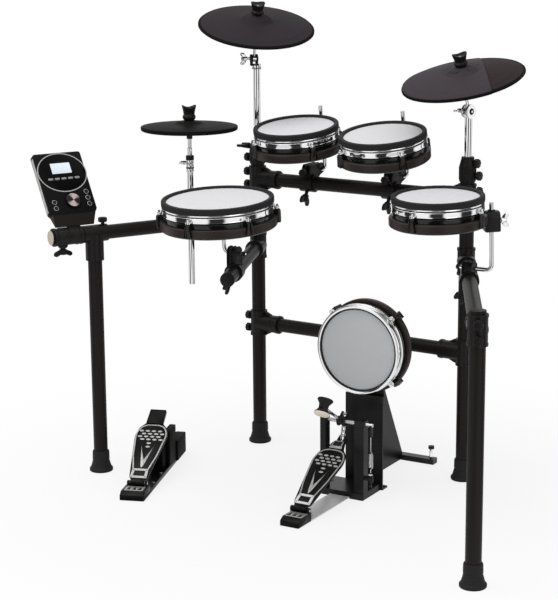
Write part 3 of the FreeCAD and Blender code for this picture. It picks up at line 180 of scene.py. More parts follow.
def lathe(outline, segments=48):
    """Solid turned about Z from (radius, height) points; off the axis the outline closes to a ring."""
    outline = np.array(outline, float)
    if signed_area(outline) < 0:
        outline = outline[::-1]
    ring = outline[0, 0] > TINY or outline[-1, 0] > TINY
    angles = np.arange(segments) * 2 * math.pi / segments
    rows = []
    for radius, height in outline:
        if radius <= TINY:
            rows.append(np.array([[0.0, 0.0, height]]))
        else:
            rows.append(np.c_[radius * np.cos(angles), radius * np.sin(angles), np.full(segments, height)])
    return skin(rows, ring)


def inset(outline, amount):
    """Anticlockwise outline moved inwards."""
    into = outline - np.roll(outline, 1, axis=0)
    away = np.roll(outline, -1, axis=0) - outline
    into /= np.linalg.norm(into, axis=1)[:, None]
    away /= np.linalg.norm(away, axis=1)[:, None]
    first = np.c_[-into[:, 1], into[:, 0]]
    second = np.c_[-away[:, 1], away[:, 0]]
    opening = 1 + np.sum(first * second, axis=1)
    return outline + amount * (first + second) / np.maximum(opening, LEAST_OPENING)[:, None]


def prism(outline, low, high, edge=1.0, steps=2):
    """Upright solid of an outline with rounded rims."""
    outline = np.array(outline, float)
    if signed_area(outline) < 0:
        outline = outline[::-1]
    levels = []
    for turn in np.linspace(0, math.pi / 2, steps + 1):
        levels.append((edge * (1 - math.sin(turn)), low + edge * (1 - math.cos(turn))))
    levels += [(drawn, high - (height - low)) for drawn, height in reversed(levels)]
    rows = [np.c_[inset(outline, drawn), np.full(len(outline), height)] for drawn, height in levels]
    shape = skin(rows, False)
    count = len(outline)
    last = count * (len(rows) - 1)
    shape.faces.append(tuple(range(count - 1, -1, -1)))
    shape.faces.append(tuple(range(last, last + count)))
    return shape


def rectangle(width, depth, radius=0.0):
    """Outline of a box, its corners rounded."""
    corners = np.array([(-1, -1), (1, -1), (1, 1), (-1, 1)]) * (width / 2, depth / 2)
    return rounded(corners, radius) if radius else corners


def box(width, depth, low, high, edge=1.0):
    """Upright box with soft edges."""
    return prism(rectangle(width, depth, edge * 1.5), low, high, edge)


def side_solid(outline, half_width, edge):
    """Solid of a side view drawn as (along Y, height), equally wide to both sides."""
    return moved(prism(outline, -half_width, half_width, edge), turned_by(90, "X") @ turned_by(90, "Y"))


def band(outer, inner, low, high):
    """Closed band between two outlines of as many points."""
    rows = [(outer, low), (outer, high), (inner, high), (inner, low)]
    return skin([np.c_[line, np.full(len(line), level)] for line, level in rows], True)


def strip(outline, width, low, high):
    """Closed band that follows an outline."""
    outline = outline if signed_area(outline) > 0 else outline[::-1]
    return band(outline, inset(outline, width), low, high)


def mirrored(half):
    """Outline from its right half, given from the near end to the far end."""
    return half + [(-across, along) for across, along in reversed(half)]


def inside(radius, section):
    """Section of (depth inside a radius, height) points as (radius, height) points."""
    return [(radius - depth, height) for depth, height in section]


def turned_solid(outline, soft, segments=48):
    """Solid turned from an outline that starts and ends on the axis, its corners softened."""
    return lathe(rounded(outline, soft, closed=False), segments)


def turned_ring(outline, soft, segments=48):
    """Ring turned from a closed outline, its corners softened."""
    return lathe(rounded(outline, soft), segments)


def rod(radius, low, high, edge=0.6, segments=32):
    """Upright round bar with soft ends."""
    return turned_solid([(0, low), (radius, low), (radius, high), (0, high)], edge, segments)


def pipe(path, radius, sides=16):
    """Round bar along a line of points, its ends closed."""
    path = np.array(path, float)
    runs = np.gradient(path, axis=0)
    runs /= np.linalg.norm(runs, axis=1)[:, None]
    side = np.cross(runs[0], Z if abs(runs[0][2]) < 0.9 else X)
    angles = np.arange(sides) * 2 * math.pi / sides
    rows = [path[:1] - runs[0] * radius * END_SHARE]
    for centre, run in zip(path, runs):
        side = unit(side - np.dot(side, run) * run)
        other = np.cross(run, side)
        rows.append(centre + radius * (np.cos(angles)[:, None] * side + np.sin(angles)[:, None] * other))
    rows.append(path[-1:] + runs[-1] * radius * END_SHARE)
    return skin(rows, False)


# Shared hardware
WING_STEM = 4.0
WING_FOOT = 13.0
WING_HALF = [(0, 0), (8, 0), (15.5, 5), (17.5, 10), (16.5, 15), (12.5, 17), (8.5, 14.5), (5.5, 11.5),
             (0, 11)]
WING_HALF_THICKNESS = 2.8
HUB_FOOT = 10.5
HUB_SHOULDER = 15.0
HUB_RADIUS = 6.8
HUB_TOP_RADIUS = 5.8
HUB_RISE = 12.0
KNOB_RADIUS = 11.2
KNOB_LOBES = 8
KNOB_LOBE_RISE = 0.9
KNOB_FOOT = 5.4
KNOB_TOP = 18.0
SCREW_SHARES = [(0, 0), (1, 0), (1, 0.6), (0.7, 1), (0.45, 1), (0.45, 0.35), (0, 0.35)]


def wing_bolt(share=1.0, length_share=1.0):
    """Bolt with two rounded wings; its stem starts at zero and it points along Z."""
    half = [(across * share, WING_FOOT + rise * length_share) for across, rise in WING_HALF]
    outline = half + [(-across, height) for across, height in reversed(half[1:-1])]
    thick = WING_HALF_THICKNESS * share
    wings = moved(prism(rounded(outline, 2.4), -thick, thick, 1.4), turned_by(90, "X"))
    tip = WING_FOOT + HUB_RISE * length_share
    wide = HUB_RADIUS * share
    hub = [(0, HUB_FOOT), (wide, HUB_FOOT), (wide, HUB_SHOULDER), (HUB_TOP_RADIUS * share, tip), (0, tip)]
    return joined(rod(WING_STEM * share, 0, WING_FOOT), turned_solid(hub, 1.0, 24), wings)


def knob():
    """Lobed hand knob on a stem; it points along Z."""
    count = KNOB_LOBES * 6
    angles = np.arange(count) * 2 * math.pi / count
    radius = KNOB_RADIUS + KNOB_LOBE_RISE * np.cos(angles * KNOB_LOBES)
    grip = prism(np.c_[radius * np.cos(angles), radius * np.sin(angles)], KNOB_FOOT, KNOB_TOP, 2.0)
    dish = rod(5.2, KNOB_TOP - 0.2, KNOB_TOP + 0.8, 0.4, 20)
    return joined(rod(5.0, 0, 7), grip, dish)


def screw_head(radius=3.2, height=2.0):
    """Domed screw head with a socket."""
    return lathe([(radius * across, height * up) for across, up in SCREW_SHARES], 12)


# Reading the CAD solids
def points_of(mesh):
    """Points of a mesh."""
    raw = np.empty(len(mesh.vertices) * 3)
    mesh.vertices.foreach_get("co", raw)
    return raw.reshape(-1, 3)


def solids(node):
    """Points of each separate solid of a CAD node, in millimetres."""
    mesh = frame["nodes"][node].data
    mesh.calc_loop_triangles()
    corners = np.empty(len(mesh.loop_triangles) * 3, dtype=np.int64)
    mesh.loop_triangles.foreach_get("vertices", corners)
    points, merged = np.unique(np.round(points_of(mesh) / MM, 3), axis=0, return_inverse=True)
    corners = merged.reshape(-1)[corners].reshape(-1, 3)
    label = np.arange(len(points))
    while True:
        lowest = label[corners].min(axis=1)
        fresh = label.copy()
        for column in range(3):
            np.minimum.at(fresh, corners[:, column], lowest)
        fresh = fresh[fresh]
        if np.array_equal(fresh, label):
            break
        label = fresh
    return [points[label == name] for name in np.unique(label)]


def principal(points):
    """Mean point and main axes, the least spread first."""
    centre = points.mean(axis=0)
    spread, axes = np.linalg.eigh(np.cov((points - centre).T))
    return centre, spread, axes.T


def wide_below(heights, reach):
    """Whether the widest part is below the middle."""
    return heights[reach > reach.max() * WIDE_SHARE].mean() < (heights.min() + heights.max()) / 2


def spun(points, toward=None):
    """Axis, ends and radius of a turned solid; it points toward a direction, or to its wider end."""
    centre, spread, axes = principal(points)
    axis = axes[2] if spread[1] - spread[0] < spread[2] - spread[1] else axes[0]
    along = (points - centre) @ axis
    radii = np.linalg.norm(points - centre - along[:, None] * axis, axis=1)
    if toward is None:
        flip = wide_below(along, radii)
    else:
        flip = np.dot(axis, toward) < 0
    if flip:
        axis, along = -axis, -along
    return Spun(centre, axis, along.min(), along.max(), radii.max())


def middle_of(points):
    """Middle of a solid's box."""
    return (points.min(axis=0) + points.max(axis=0)) / 2


def winged_place(points):
    """Place of a wing bolt's solid, its stem's start at zero."""
    centre, _, axes = principal(points)
    along = (points - centre) @ axes.T
    lean = [abs(np.mean(along[:, index] ** 3)) for index in range(3)]
    index = int(np.argmax(lean))
    axis = axes[index]
    others = [other for other in range(3) if other != index]
    span = axes[max(others, key=lambda other: np.ptp(along[:, other]))]
    reach = np.abs((points - centre) @ span)
    heights = (points - centre) @ axis
    if wide_below(heights, reach):
        axis, heights = -axis, -heights
    return place_at(centre + axis * heights.min(), axis, span)


def joint_spot(name):
    """Point of a joint in millimetres."""
    return np.array(JOINTS[name]["pos_m"], float) / MM


def joint_axis(name):
    """Direction of a joint."""
    return unit(JOINTS[name]["axis"])


# Pieces
def put_in(name, data):
    """New object in the scene."""
    item = bpy.data.objects.new(name, data)
    bpy.context.scene.collection.objects.link(item)
    return item


class Piece:
    def __init__(self, name):
        self.name = name
        self.points = []
        self.flat = []
        self.faces = []
        self.finishes = []
        self.indices = []

    def add(self, shape, finish, place=HERE):
        """Takes a shape in at a place."""
        start = sum(len(points) for points in self.points)
        if finish not in self.finishes:
            self.finishes.append(finish)
        self.points.append(moved(shape, place).points)
        self.flat.append(shape.points[:, :2])
        self.faces += [tuple(start + corner for corner in face) for face in shape.faces]
        self.indices += [self.finishes.index(finish)] * len(shape.faces)
        return self

    def repeat(self, tree_name, shape, finish, place=HERE, **inputs):
        """Takes in copies of a shape that a geometry tree sets out."""
        return self.add(copies(tree_name, shape, finish, **inputs), finish, place)

    def build(self, body, nodes=(), slot=None):
        """Makes the object, sets it on its body and hides the CAD nodes it stands for."""
        mesh = bpy.data.meshes.new(self.name)
        mesh.from_pydata(np.vstack(self.points) * MM, [], self.faces)
        for finish in self.finishes:
            mesh.materials.append(finish_of(finish))
        mesh.polygons.foreach_set("material_index", self.indices)
        layer = mesh.uv_layers.new(name="flat")
        corners = np.empty(len(mesh.loops), dtype=np.int64)
        mesh.loops.foreach_get("vertex_index", corners)
        layer.uv.foreach_set("vector", (np.vstack(self.flat) * MM)[corners].ravel())
        mesh.shade_smooth()
        mesh.set_sharp_from_angle(angle=math.radians(SHARP_ANGLE))
        piece = put_in(self.name, mesh)
        if body:
            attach(piece, body)
        if nodes:
            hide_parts(*nodes)
        return piece


def paint(finish, *nodes):
    """Gives CAD nodes that keep their shape a finish."""
    for node in nodes:
        materials = frame["nodes"][node].data.materials
        materials.clear()
        materials.append(finish_of(finish))


# Node trees
def wire(tree, kind, links=(), **settings):
    """Adds a node, sets it and joins its inputs to values or to other nodes' outputs."""
    node = tree.nodes.new(kind)
    for key, value in settings.items():
        setattr(node, key, value)
    for socket, value in links:
        if isinstance(value, bpy.types.NodeSocket):
            tree.links.new(value, node.inputs[socket])
        else:
            node.inputs[socket].default_value = value
    return node


def value_of(tree, operation, *terms):
    """Output of a Math node."""
    return wire(tree, "ShaderNodeMath", list(enumerate(terms)), operation=operation).outputs[0]


def new_group(name, kind, inputs, outputs):
    """Node group with named sockets; gives the tree and its inputs."""
    tree = bpy.data.node_groups.new(name, kind)
    for way, sockets in (("INPUT", inputs), ("OUTPUT", outputs)):
        for label, socket in sockets:
            tree.interface.new_socket(label, in_out=way, socket_type="NodeSocket" + socket)
    return tree, tree.nodes.new("NodeGroupInput").outputs


def new_tree(name, sockets):
    """Geometry tree with named inputs; gives the tree and its inputs."""
    return new_group(name, "GeometryNodeTree", sockets, [("Geometry", "Geometry")])


def end_tree(tree, inputs, points, rotation=None):
    """Sets the source at every point, makes it real and gives it its material."""
    source = wire(tree, "GeometryNodeObjectInfo", [("Object", inputs["Source"])])
    links = [("Points", points), ("Instance", source.outputs["Geometry"])]
    placed = wire(tree, "GeometryNodeInstanceOnPoints", links)
    if rotation:
        tree.links.new(rotation, placed.inputs["Rotation"])
    real = wire(tree, "GeometryNodeRealizeInstances", [(0, placed.outputs[0])])
    coated = wire(tree, "GeometryNodeSetMaterial", [(0, real.outputs[0]), ("Material", inputs["Material"])])
    wire(tree, "NodeGroupOutput", [(0, coated.outputs[0])])
    return tree


SOURCE_SOCKETS = [("Source", "Object"), ("Material", "Material")]


def ring_tree():
    """Copies spaced evenly round a ring and turned with it."""
    tree, inputs = new_tree("Copies in a ring", [("Count", "Int"), ("Radius", "Float")] + SOURCE_SOCKETS)
    index = wire(tree, "GeometryNodeInputIndex").outputs[0]
    step = value_of(tree, "DIVIDE", 2 * math.pi, inputs["Count"])
    angle = value_of(tree, "MULTIPLY", index, step)
    across = value_of(tree, "MULTIPLY", value_of(tree, "COSINE", angle), inputs["Radius"])
    along = value_of(tree, "MULTIPLY", value_of(tree, "SINE", angle), inputs["Radius"])
    position = wire(tree, "ShaderNodeCombineXYZ", [(0, across), (1, along)]).outputs[0]
    turn = wire(tree, "ShaderNodeCombineXYZ", [(2, angle)]).outputs[0]
    rotation = wire(tree, "FunctionNodeEulerToRotation", [(0, turn)]).outputs[0]
    points = wire(tree, "GeometryNodePoints", [("Count", inputs["Count"]), ("Position", position)])
    return end_tree(tree, inputs, points.outputs[0], rotation)


def grid_tree():
    """Copies in rows; the columns are centred and the rows start at zero."""
    sockets = [("Columns", "Int"), ("Rows", "Int"), ("Column step", "Float"), ("Row step", "Float")]
    tree, inputs = new_tree("Copies in rows", sockets + SOURCE_SOCKETS)
    index = wire(tree, "GeometryNodeInputIndex").outputs[0]
    row = value_of(tree, "FLOOR", value_of(tree, "DIVIDE", index, inputs["Columns"]))
    column = value_of(tree, "MODULO", index, inputs["Columns"])
    middle = value_of(tree, "MULTIPLY", value_of(tree, "SUBTRACT", inputs["Columns"], 1.0), 0.5)
    place = value_of(tree, "SUBTRACT", column, middle)
    across = value_of(tree, "MULTIPLY", place, inputs["Column step"])
    along = value_of(tree, "MULTIPLY", row, inputs["Row step"])
    position = wire(tree, "ShaderNodeCombineXYZ", [(0, across), (1, along)]).outputs[0]
    count = value_of(tree, "MULTIPLY", inputs["Columns"], inputs["Rows"])
    points = wire(tree, "GeometryNodePoints", [("Count", count), ("Position", position)])
    return end_tree(tree, inputs, points.outputs[0])


def aimed_tree():
    """Copies at given points, each along the direction stored with its point."""
    tree, inputs = new_tree("Copies at points", [("Places", "Geometry")] + SOURCE_SOCKETS)
    aim = wire(tree, "GeometryNodeInputNamedAttribute", [(0, "aim")], data_type="FLOAT_VECTOR").outputs[0]
    rotation = wire(tree, "FunctionNodeAlignRotationToVector", [("Vector", aim)], axis="Z").outputs[0]
    return end_tree(tree, inputs, inputs["Places"], rotation)


TREES = {"ring": ring_tree, "grid": grid_tree, "aimed": aimed_tree}


def tree_of(name):
    """A geometry tree, built when it is first asked for."""
    made = bpy.data.node_groups.get("kit_" + name)
    if made is None:
        made = TREES[name]()
        made.name = "kit_" + name
    return made


def copies(tree_name, source, finish, places=(), **sizes):
    """Runs a geometry tree on a source shape and gives the copies as one plain shape."""
    seed = put_in("source", bpy.data.meshes.new("source"))
    seed.data.from_pydata(source.points, [], source.faces)
    carrier = put_in("carrier", bpy.data.meshes.new("carrier"))
    if len(places):
        carrier.data.from_pydata(np.array([place[:3, 3] for place in places]), [], [])
        stored = carrier.data.attributes.new("aim", "FLOAT_VECTOR", "POINT")
        stored.data.foreach_set("vector", np.ravel([place[:3, 2] for place in places]))
    modifier = carrier.modifiers.new("copies", "NODES")
    modifier.node_group = tree_of(tree_name)
    values = dict(sizes, Source=seed, Material=finish_of(finish))
    for socket in modifier.node_group.interface.items_tree:
        label = socket.name.replace(" ", "_")
        if socket.in_out == "INPUT" and label in values:
            modifier[socket.identifier] = values[label]
    bpy.context.view_layer.update()
    result = bpy.data.meshes.new_from_object(carrier.evaluated_get(bpy.context.evaluated_depsgraph_get()))
    carrier.modifiers.clear()
    shape = Shape(points_of(result), [tuple(face.vertices) for face in result.polygons])
    for item in (seed, carrier):
        mesh = item.data
        bpy.data.objects.remove(item)
        bpy.data.meshes.remove(mesh)
    bpy.data.meshes.remove(result)
    return shape


# Materials
# Start angle and darkest share of the painted reflection wedges on spun metal.
PAINTED_SHEEN_START = -0.9
PAINTED_SHEEN_LOW_SHARE = 0.015
BUMP_DEPTH = 0.5


def ramp(tree, value, start, end, low, high):
    """Value carried from one range to another and held at its ends."""
    return wire(tree, "ShaderNodeMapRange", list(enumerate((value, start, end, low, high)))).outputs[0]


def shaded(tree, colour, share):
    """Colour made lighter or darker."""
    links = [(0, colour), ("Scale", share)]
    return wire(tree, "ShaderNodeVectorMath", links, operation="SCALE").outputs[0]


def length_of(tree, vector):
    """Distance from the origin."""
    return wire(tree, "ShaderNodeVectorMath", [(0, vector)], operation="LENGTH").outputs["Value"]


def parts_of(tree, vector):
    """X, Y and Z of a vector."""
    return wire(tree, "ShaderNodeSeparateXYZ", [(0, vector)]).outputs


def turn_of(tree, vector):
    """Angle of a vector round Z."""
    parts = parts_of(tree, vector)
    return value_of(tree, "ARCTAN2", parts[1], parts[0])


def wave(tree, distance, pitch):
    """Sine that repeats once in a pitch."""
    turns = value_of(tree, "MULTIPLY", value_of(tree, "DIVIDE", distance, pitch), 2 * math.pi)
    return value_of(tree, "SINE", turns)


def shader_group(name, inputs, outputs):
    """Shader node group with named sockets; gives the tree, its inputs and its outputs."""
    tree, given = new_group(name, "ShaderNodeTree", inputs, outputs)
    return tree, given, tree.nodes.new("NodeGroupOutput").inputs


def height_group(name):
    """Shader node group that gives a height from a vector and a pitch."""
    return shader_group(name, [("Vector", "Vector"), ("Pitch", "Float")], [("Height", "Float")])


def grain_group(name):
    """Fine unevenness of a finish: colour, roughness and height that change over the surface."""
    tree, inputs, outputs = shader_group(
        name,
        [("Vector", "Vector"), ("Colour", "Color"), ("Roughness", "Float"), ("Scale", "Float"),
         ("Colour change", "Float"), ("Roughness change", "Float")],
        [("Colour", "Color"), ("Roughness", "Float"), ("Height", "Float")])
    links = [("Vector", inputs["Vector"]), ("Scale", inputs["Scale"]), ("Detail", 3.0)]
    noise = wire(tree, "ShaderNodeTexNoise", links).outputs[0]
    centred = value_of(tree, "SUBTRACT", noise, 0.5)
    share = value_of(tree, "MULTIPLY_ADD", centred, inputs["Colour change"], 1.0)
    rough = value_of(tree, "MULTIPLY_ADD", centred, inputs["Roughness change"], inputs["Roughness"])
    tree.links.new(shaded(tree, inputs["Colour"], share), outputs["Colour"])
    tree.links.new(rough, outputs["Roughness"])
    tree.links.new(noise, outputs["Height"])
    return tree


def rings_group(name):
    """Fine rings round the middle of a turned face."""
    tree, inputs, outputs = height_group(name)
    tree.links.new(wave(tree, length_of(tree, inputs["Vector"]), inputs["Pitch"]), outputs["Height"])
    return tree


def weave_group(name):
    """Plain weave of a mesh head."""
    tree, inputs, outputs = height_group(name)
    parts = parts_of(tree, inputs["Vector"])
    waves = [wave(tree, parts[axis], inputs["Pitch"]) for axis in range(2)]
    tree.links.new(value_of(tree, "MULTIPLY", *waves), outputs["Height"])
    return tree


def painted_sheen_group(name):
    """Painted reflection: light and dark wedges painted into the colour round the middle, standing in for
    the sheen of spun metal.
    """
    sockets = [("Vector", "Vector"), ("Colour", "Color")]
    tree, inputs, outputs = shader_group(name, sockets, sockets[1:])
    turn = turn_of(tree, inputs["Vector"])
    wedges = value_of(tree, "SINE", value_of(tree, "MULTIPLY_ADD", turn, 2.0, PAINTED_SHEEN_START))
    share = ramp(tree, wedges, -0.5, 0.7, PAINTED_SHEEN_LOW_SHARE, 1.0)
    tree.links.new(shaded(tree, inputs["Colour"], share), outputs["Colour"])
    return tree


GROUPS = {"Surface grain": grain_group, "Turned rings": rings_group, "Mesh weave": weave_group,
          "Spun sheen": painted_sheen_group}


def group_node(tree, name, links):
    """Places a shared shader group, built when it is first asked for."""
    made = bpy.data.node_groups.get(name) or GROUPS[name](name)
    return wire(tree, "ShaderNodeGroup", links, node_tree=made)


# One finish: colour, gloss, and the grain, pattern or painted reflection over it; pitch is in millimetres.
Finish = namedtuple("Finish", "colour rough metal shine scale change sway bump pattern pitch",
                    defaults=(0.0, 0.5, 300.0, 0.12, 0.08, 0.0, None, 1.0))


def cymbal_finish(colour, rough=0.6, bump=0.12):
    """Finely turned rubber of a cymbal pad."""
    return Finish(colour, rough, shine=0.03, scale=500, pattern="Turned rings", pitch=2.4, bump=bump)


def mesh_finish(colour, rough):
    """Woven mesh of a drum head."""
    return Finish(colour, rough, scale=30, change=0.03, pattern="Mesh weave", pitch=1.2, bump=0.05)


def finishes():
    colours = bpy.context.scene.kit_colours
    return {
        "rack_black": Finish(colours.rack, 0.42, shine=0.14, scale=900, bump=0.02),
        "clamp_black": Finish(colours.clamp, 0.4, shine=0.2, scale=1400, bump=0.08),
        # Rubber of guards, feet and tips; also the painted shade filling the hoops' grooves.
        "rubber_black": Finish(colours.rubber, 0.6, shine=0.1, scale=1200, bump=0.06),
        "shell_black": Finish(colours.shell, 0.12, shine=0.4, scale=60, change=0.05),
        # Satin lower ring of the shells; the same colour is also the painted highlight on the lug ridges and
        # the bracket's strip.
        "shell_satin": Finish(colours.ring, 0.34, shine=0.16, scale=600, bump=0.03),
        "chrome": Finish(colours.chrome, 0.06, metal=1.0, scale=200, change=0.04, sway=0.03),
        "head_white": mesh_finish(colours.head, 0.8),
        # Same mesh finish as the heads, made darker: painted shade on the upright kick head.
        "kick_grey": mesh_finish(colours.kick, 0.75),
        "cymbal_grey": cymbal_finish(colours.cymbal),
        "edge_black": cymbal_finish(colours.edge),
        "ride_zone": cymbal_finish(colours.ride),
        "ride_low": cymbal_finish(colours.low_zone),
        "hat_grey": cymbal_finish(colours.hat, rough=0.55, bump=0.08),
        "steel_black": Finish(colours.steel_black, 0.34, shine=0.2, scale=900, bump=0.05),
        "steel_bare": Finish(colours.steel_bare, 0.3, metal=1.0, scale=400, sway=0.15),
        "plate_grey": Finish(colours.plate, 0.42, metal=0.1, scale=250, sway=0.1),
        "board_black": Finish(colours.board, 0.32, shine=0.11, scale=700, bump=0.05),
        "box_black": Finish(colours.board, 0.6, shine=0.05, scale=1100, bump=0.1),
        "trim_grey": Finish(colours.trim, 0.4, metal=0.6, scale=500, sway=0.12),
        "felt": Finish(colours.felt, 0.95, shine=0.1, scale=600, change=0.3, bump=0.3),
        "case_black": Finish(colours.case, 0.36, shine=0.1, scale=1500, bump=0.05),
        "case_gloss": Finish(colours.gloss, 0.06, shine=0.08, scale=40, change=0.05, sway=0.02),
        "case_satin": Finish(colours.lip, 0.4, shine=0.14, scale=1500, bump=0.05),
        "screen": Finish(colours.screen, 0.15),
        # Painted reflection: the dial's face gets light and dark wedges over this colour.
        "dial_metal": Finish(colours.dial, 0.34, metal=0.55, scale=300, pattern="Spun sheen"),
        "cap_cream": Finish(colours.cap, 0.5, scale=400),
        "key_grey": Finish(colours.key, 0.45, scale=300),
        "print_white": Finish(colours.print, 0.5, scale=300),
    }


def finish_of(name):
    """Material of a finish, built when it is first asked for."""
    made = bpy.data.materials.get(name + "_finish")
    if made:
        return made
    facts = finishes()[name]
    material = bpy.data.materials.new(name + "_finish")
    material.use_nodes = True
    tree = material.node_tree
    surface = tree.nodes["Principled BSDF"]
    surface.inputs["Metallic"].default_value = facts.metal
    surface.inputs["Specular IOR Level"].default_value = facts.shine
    place = wire(tree, "ShaderNodeTexCoord").outputs["Object"]
    grain = group_node(tree, "Surface grain", [
        ("Vector", place), ("Colour", (*facts.colour, 1.0)), ("Roughness", facts.rough),
        ("Scale", facts.scale), ("Colour change", facts.change), ("Roughness change", facts.sway)]).outputs
    tree.links.new(grain["Roughness"], surface.inputs["Roughness"])
    colour = grain["Colour"]
    height = grain["Height"]
    if facts.pattern:
        layer = wire(tree, "ShaderNodeUVMap", uv_map="flat").outputs[0]
        # Painted reflection: light and dark wedges multiplied into the colour.
        if facts.pattern == "Spun sheen":
            sheen = group_node(tree, facts.pattern, [("Vector", layer), ("Colour", colour)])
            colour = sheen.outputs["Colour"]
        else:
            drawn = group_node(tree, facts.pattern, [("Vector", layer), ("Pitch", facts.pitch * MM)])
            height = drawn.outputs["Height"]
    tree.links.new(colour, surface.inputs["Base Color"])
    if facts.bump:
        links = [("Height", height), ("Strength", facts.bump), ("Distance", BUMP_DEPTH * MM)]
        tree.links.new(wire(tree, "ShaderNodeBump", links).outputs[0], surface.inputs["Normal"])
    if name == "screen":
        tree.links.new(colour, surface.inputs["Emission Color"])
        surface.inputs["Emission Strength"].default_value = bpy.context.scene.kit_module.screen_glow
    return material


# Settings
BOARD_RISE = 121.0
BOARD_RUN = 223.0


def size(name, description, millimetres):
    """Length property with its default in millimetres."""
    return bpy.props.FloatProperty(name=name, description=description, default=millimetres * MM,
                                   unit="LENGTH", precision=4)


def tint(name, description, *levels):
    """Colour property."""
    return bpy.props.FloatVectorProperty(name=name, description=description, default=levels, size=3,
                                         subtype="COLOR", min=0.0, max=1.0)


def lamp_power(name, description, watts):
    """Lamp power property."""
    return bpy.props.FloatProperty(name=name, description=description, default=watts, unit="POWER")


class KitColours(bpy.types.PropertyGroup):
    rack: tint("Rack", "Satin paint of the rack tubes", 0.0155, 0.0132, 0.0124)
    clamp: tint("Clamps", "Moulded clamps and knobs", 0.0118, 0.0101, 0.0096)
    # Also used as the painted shade in the hoops' grooves.
    rubber: tint("Rubber", "Rim guards and feet", 0.026, 0.0257, 0.0265)
    shell: tint("Shells", "Gloss pad shells and lugs", 0.0062, 0.0055, 0.0053)
    # Also used as the painted highlight on the lug ridges and on the bracket's strip.
    ring: tint("Shell ring", "Satin lower ring of the shells", 0.036, 0.0285, 0.0265)
    chrome: tint("Chrome", "Hoops, rods and stand tubes", 0.86, 0.86, 0.87)
    head: tint("Heads", "Mesh heads", 0.765, 0.758, 0.78)
    # Darker copy of the heads' colour: painted shade on the upright kick head.
    kick: tint("Kick head", "Mesh head of the kick pad", 0.63, 0.645, 0.665)
    cymbal: tint("Crash", "Rubber of the crash pad", 0.0335, 0.0282, 0.032)
    ride: tint("Ride", "Rubber of the ride pad's playing zone", 0.058, 0.0488, 0.055)
    edge: tint("Cymbal edge", "Edge band of the crash and ride pads", 0.0085, 0.0075, 0.008)
    low_zone: tint("Low zone", "Low side of the ride pad", 0.033, 0.0245, 0.0262)
    hat: tint("Hi-hat", "Rubber of the hi-hat pad", 0.0108, 0.0098, 0.0096)
    steel_black: tint("Black steel", "Kick tower and pedal casting", 0.0112, 0.0106, 0.0106)
    steel_bare: tint("Bare steel", "Spring, chain and screws", 0.62, 0.62, 0.63)
    plate: tint("Pedal plate", "Plate under the kick pedal", 0.9, 0.9, 0.91)
    board: tint("Footboards", "Anodised footboards", 0.0046, 0.0042, 0.0042)
    trim: tint("Trim", "Raised trim and grips of the footboards", 0.5, 0.495, 0.485)
    felt: tint("Felt", "Felt of the beater", 0.9, 0.86, 0.72)
    case: tint("Module case", "Moulded case of the sound module", 0.0042, 0.0042, 0.0048)
    gloss: tint("Module face", "Gloss disc round the screen", 0.0016, 0.0016, 0.0022)
    lip: tint("Module lip", "Satin front lip of the module", 0.02, 0.0165, 0.0148)
    screen: tint("Screen", "Lit screen", 0.74, 0.83, 0.9)
    dial: tint("Dial", "Turned metal of the dial", 0.62, 0.5, 0.48)
    cap: tint("Pale cap", "End cap of the left bar", 0.62, 0.57, 0.45)
    key: tint("Keys", "Faces of the module's keys", 0.3, 0.3, 0.31)
    print: tint("Rings", "Printed rings round the module's buttons", 0.62, 0.62, 0.64)


class PadSizes(bpy.types.PropertyGroup):
    """Heights of a drum pad above the underside of its shell."""

    shell_top: size("Shell", "Top of the outer shell", 33)
    hoop_low: size("Hoop", "Underside of the hoop", 36)
    band_top: size("Band", "Top of the hoop's band", 48.6)
    bead_low: size("Bead underside", "Underside of the hoop's bead", 51.8)
    bead_top: size("Bead", "Top of the hoop's bead", 55.6)
    head_top: size("Head", "Top of the mesh head at its rim", 65.6)
    guard_top: size("Guard", "Top of the rubber guard", 71)
    guard_width: size("Guard width", "Width of the rubber guard", 12.6)
    kick_lip: size("Kick lip", "Width of the steel lip round the kick pad's guard", 8.6)
    ring_reach: size("Shell ring", "How far the lower ring stands out from the shell", 5)
    kick_lift: size("Kick hoop", "How much narrower the kick pad's hoop is", 7)
    shell_drop: size("Shell drop", "How far a hanging pad's lower ring reaches below the mount plane", 4.5)
    bracket_reach: size("Bracket", "Reach of a pad's bracket from the shell", 33)
    crown: size("Crown", "Rise of the head at its middle", 1.2)
    floor_drop: size("Bracket drop", "How much lower the floor tom's bracket sits", 12)
    floor_stub: size("Rod stub", "Length of the floor tom's rod above its bracket", 4)


class CymbalSizes(bpy.types.PropertyGroup):
    """Sizes of the cymbal pads."""

    zone_rise: size("Zone", "Rise of the ride's playing zone", 5)
    edge_groove: size("Groove", "Depth of the groove round the hi-hat's edge", 1.0)


class PedalSizes(bpy.types.PropertyGroup):
    """Sizes of the two pedals."""

    slope: bpy.props.FloatProperty(name="Slope", description="Rise of the footboards at rest",
                                   default=math.atan2(BOARD_RISE, BOARD_RUN), subtype="ANGLE")
    grip_step: size("Grip step", "Distance between grips in a row", 17)
    grip_row: size("Grip row", "Distance between rows of grips", 10.5)
    wire: size("Spring wire", "Thickness of the spring's wire", 2.4)
    turns: bpy.props.IntProperty(name="Turns", description="Turns of the spring", default=12, min=1)


class ModuleSizes(bpy.types.PropertyGroup):
    """Sizes of the sound module."""

    width: size("Width", "Width of the case", 138)
    length: size("Length", "Height of the case along its face", 184)
    depth: size("Depth", "Thickness of the case", 21)
    screen_glow: bpy.props.FloatProperty(name="Screen glow", description="Strength of the lit screen",
                                         default=0.22, min=0.0)


class StageLight(bpy.types.PropertyGroup):
    """Lamps and floor of the studio."""

    key: lamp_power("Key", "Power of the main lamp", 46.0)
    fill: lamp_power("Fill", "Power of the side lamp", 8.0)
    sky: bpy.props.FloatProperty(name="Sky", description="Strength of the even light", default=0.82,
                                 min=0.0)
    floor: tint("Floor", "Colour of the floor", 0.93, 0.93, 0.93)


def mm(value):
    """Property in metres as millimetres."""
    return value / MM


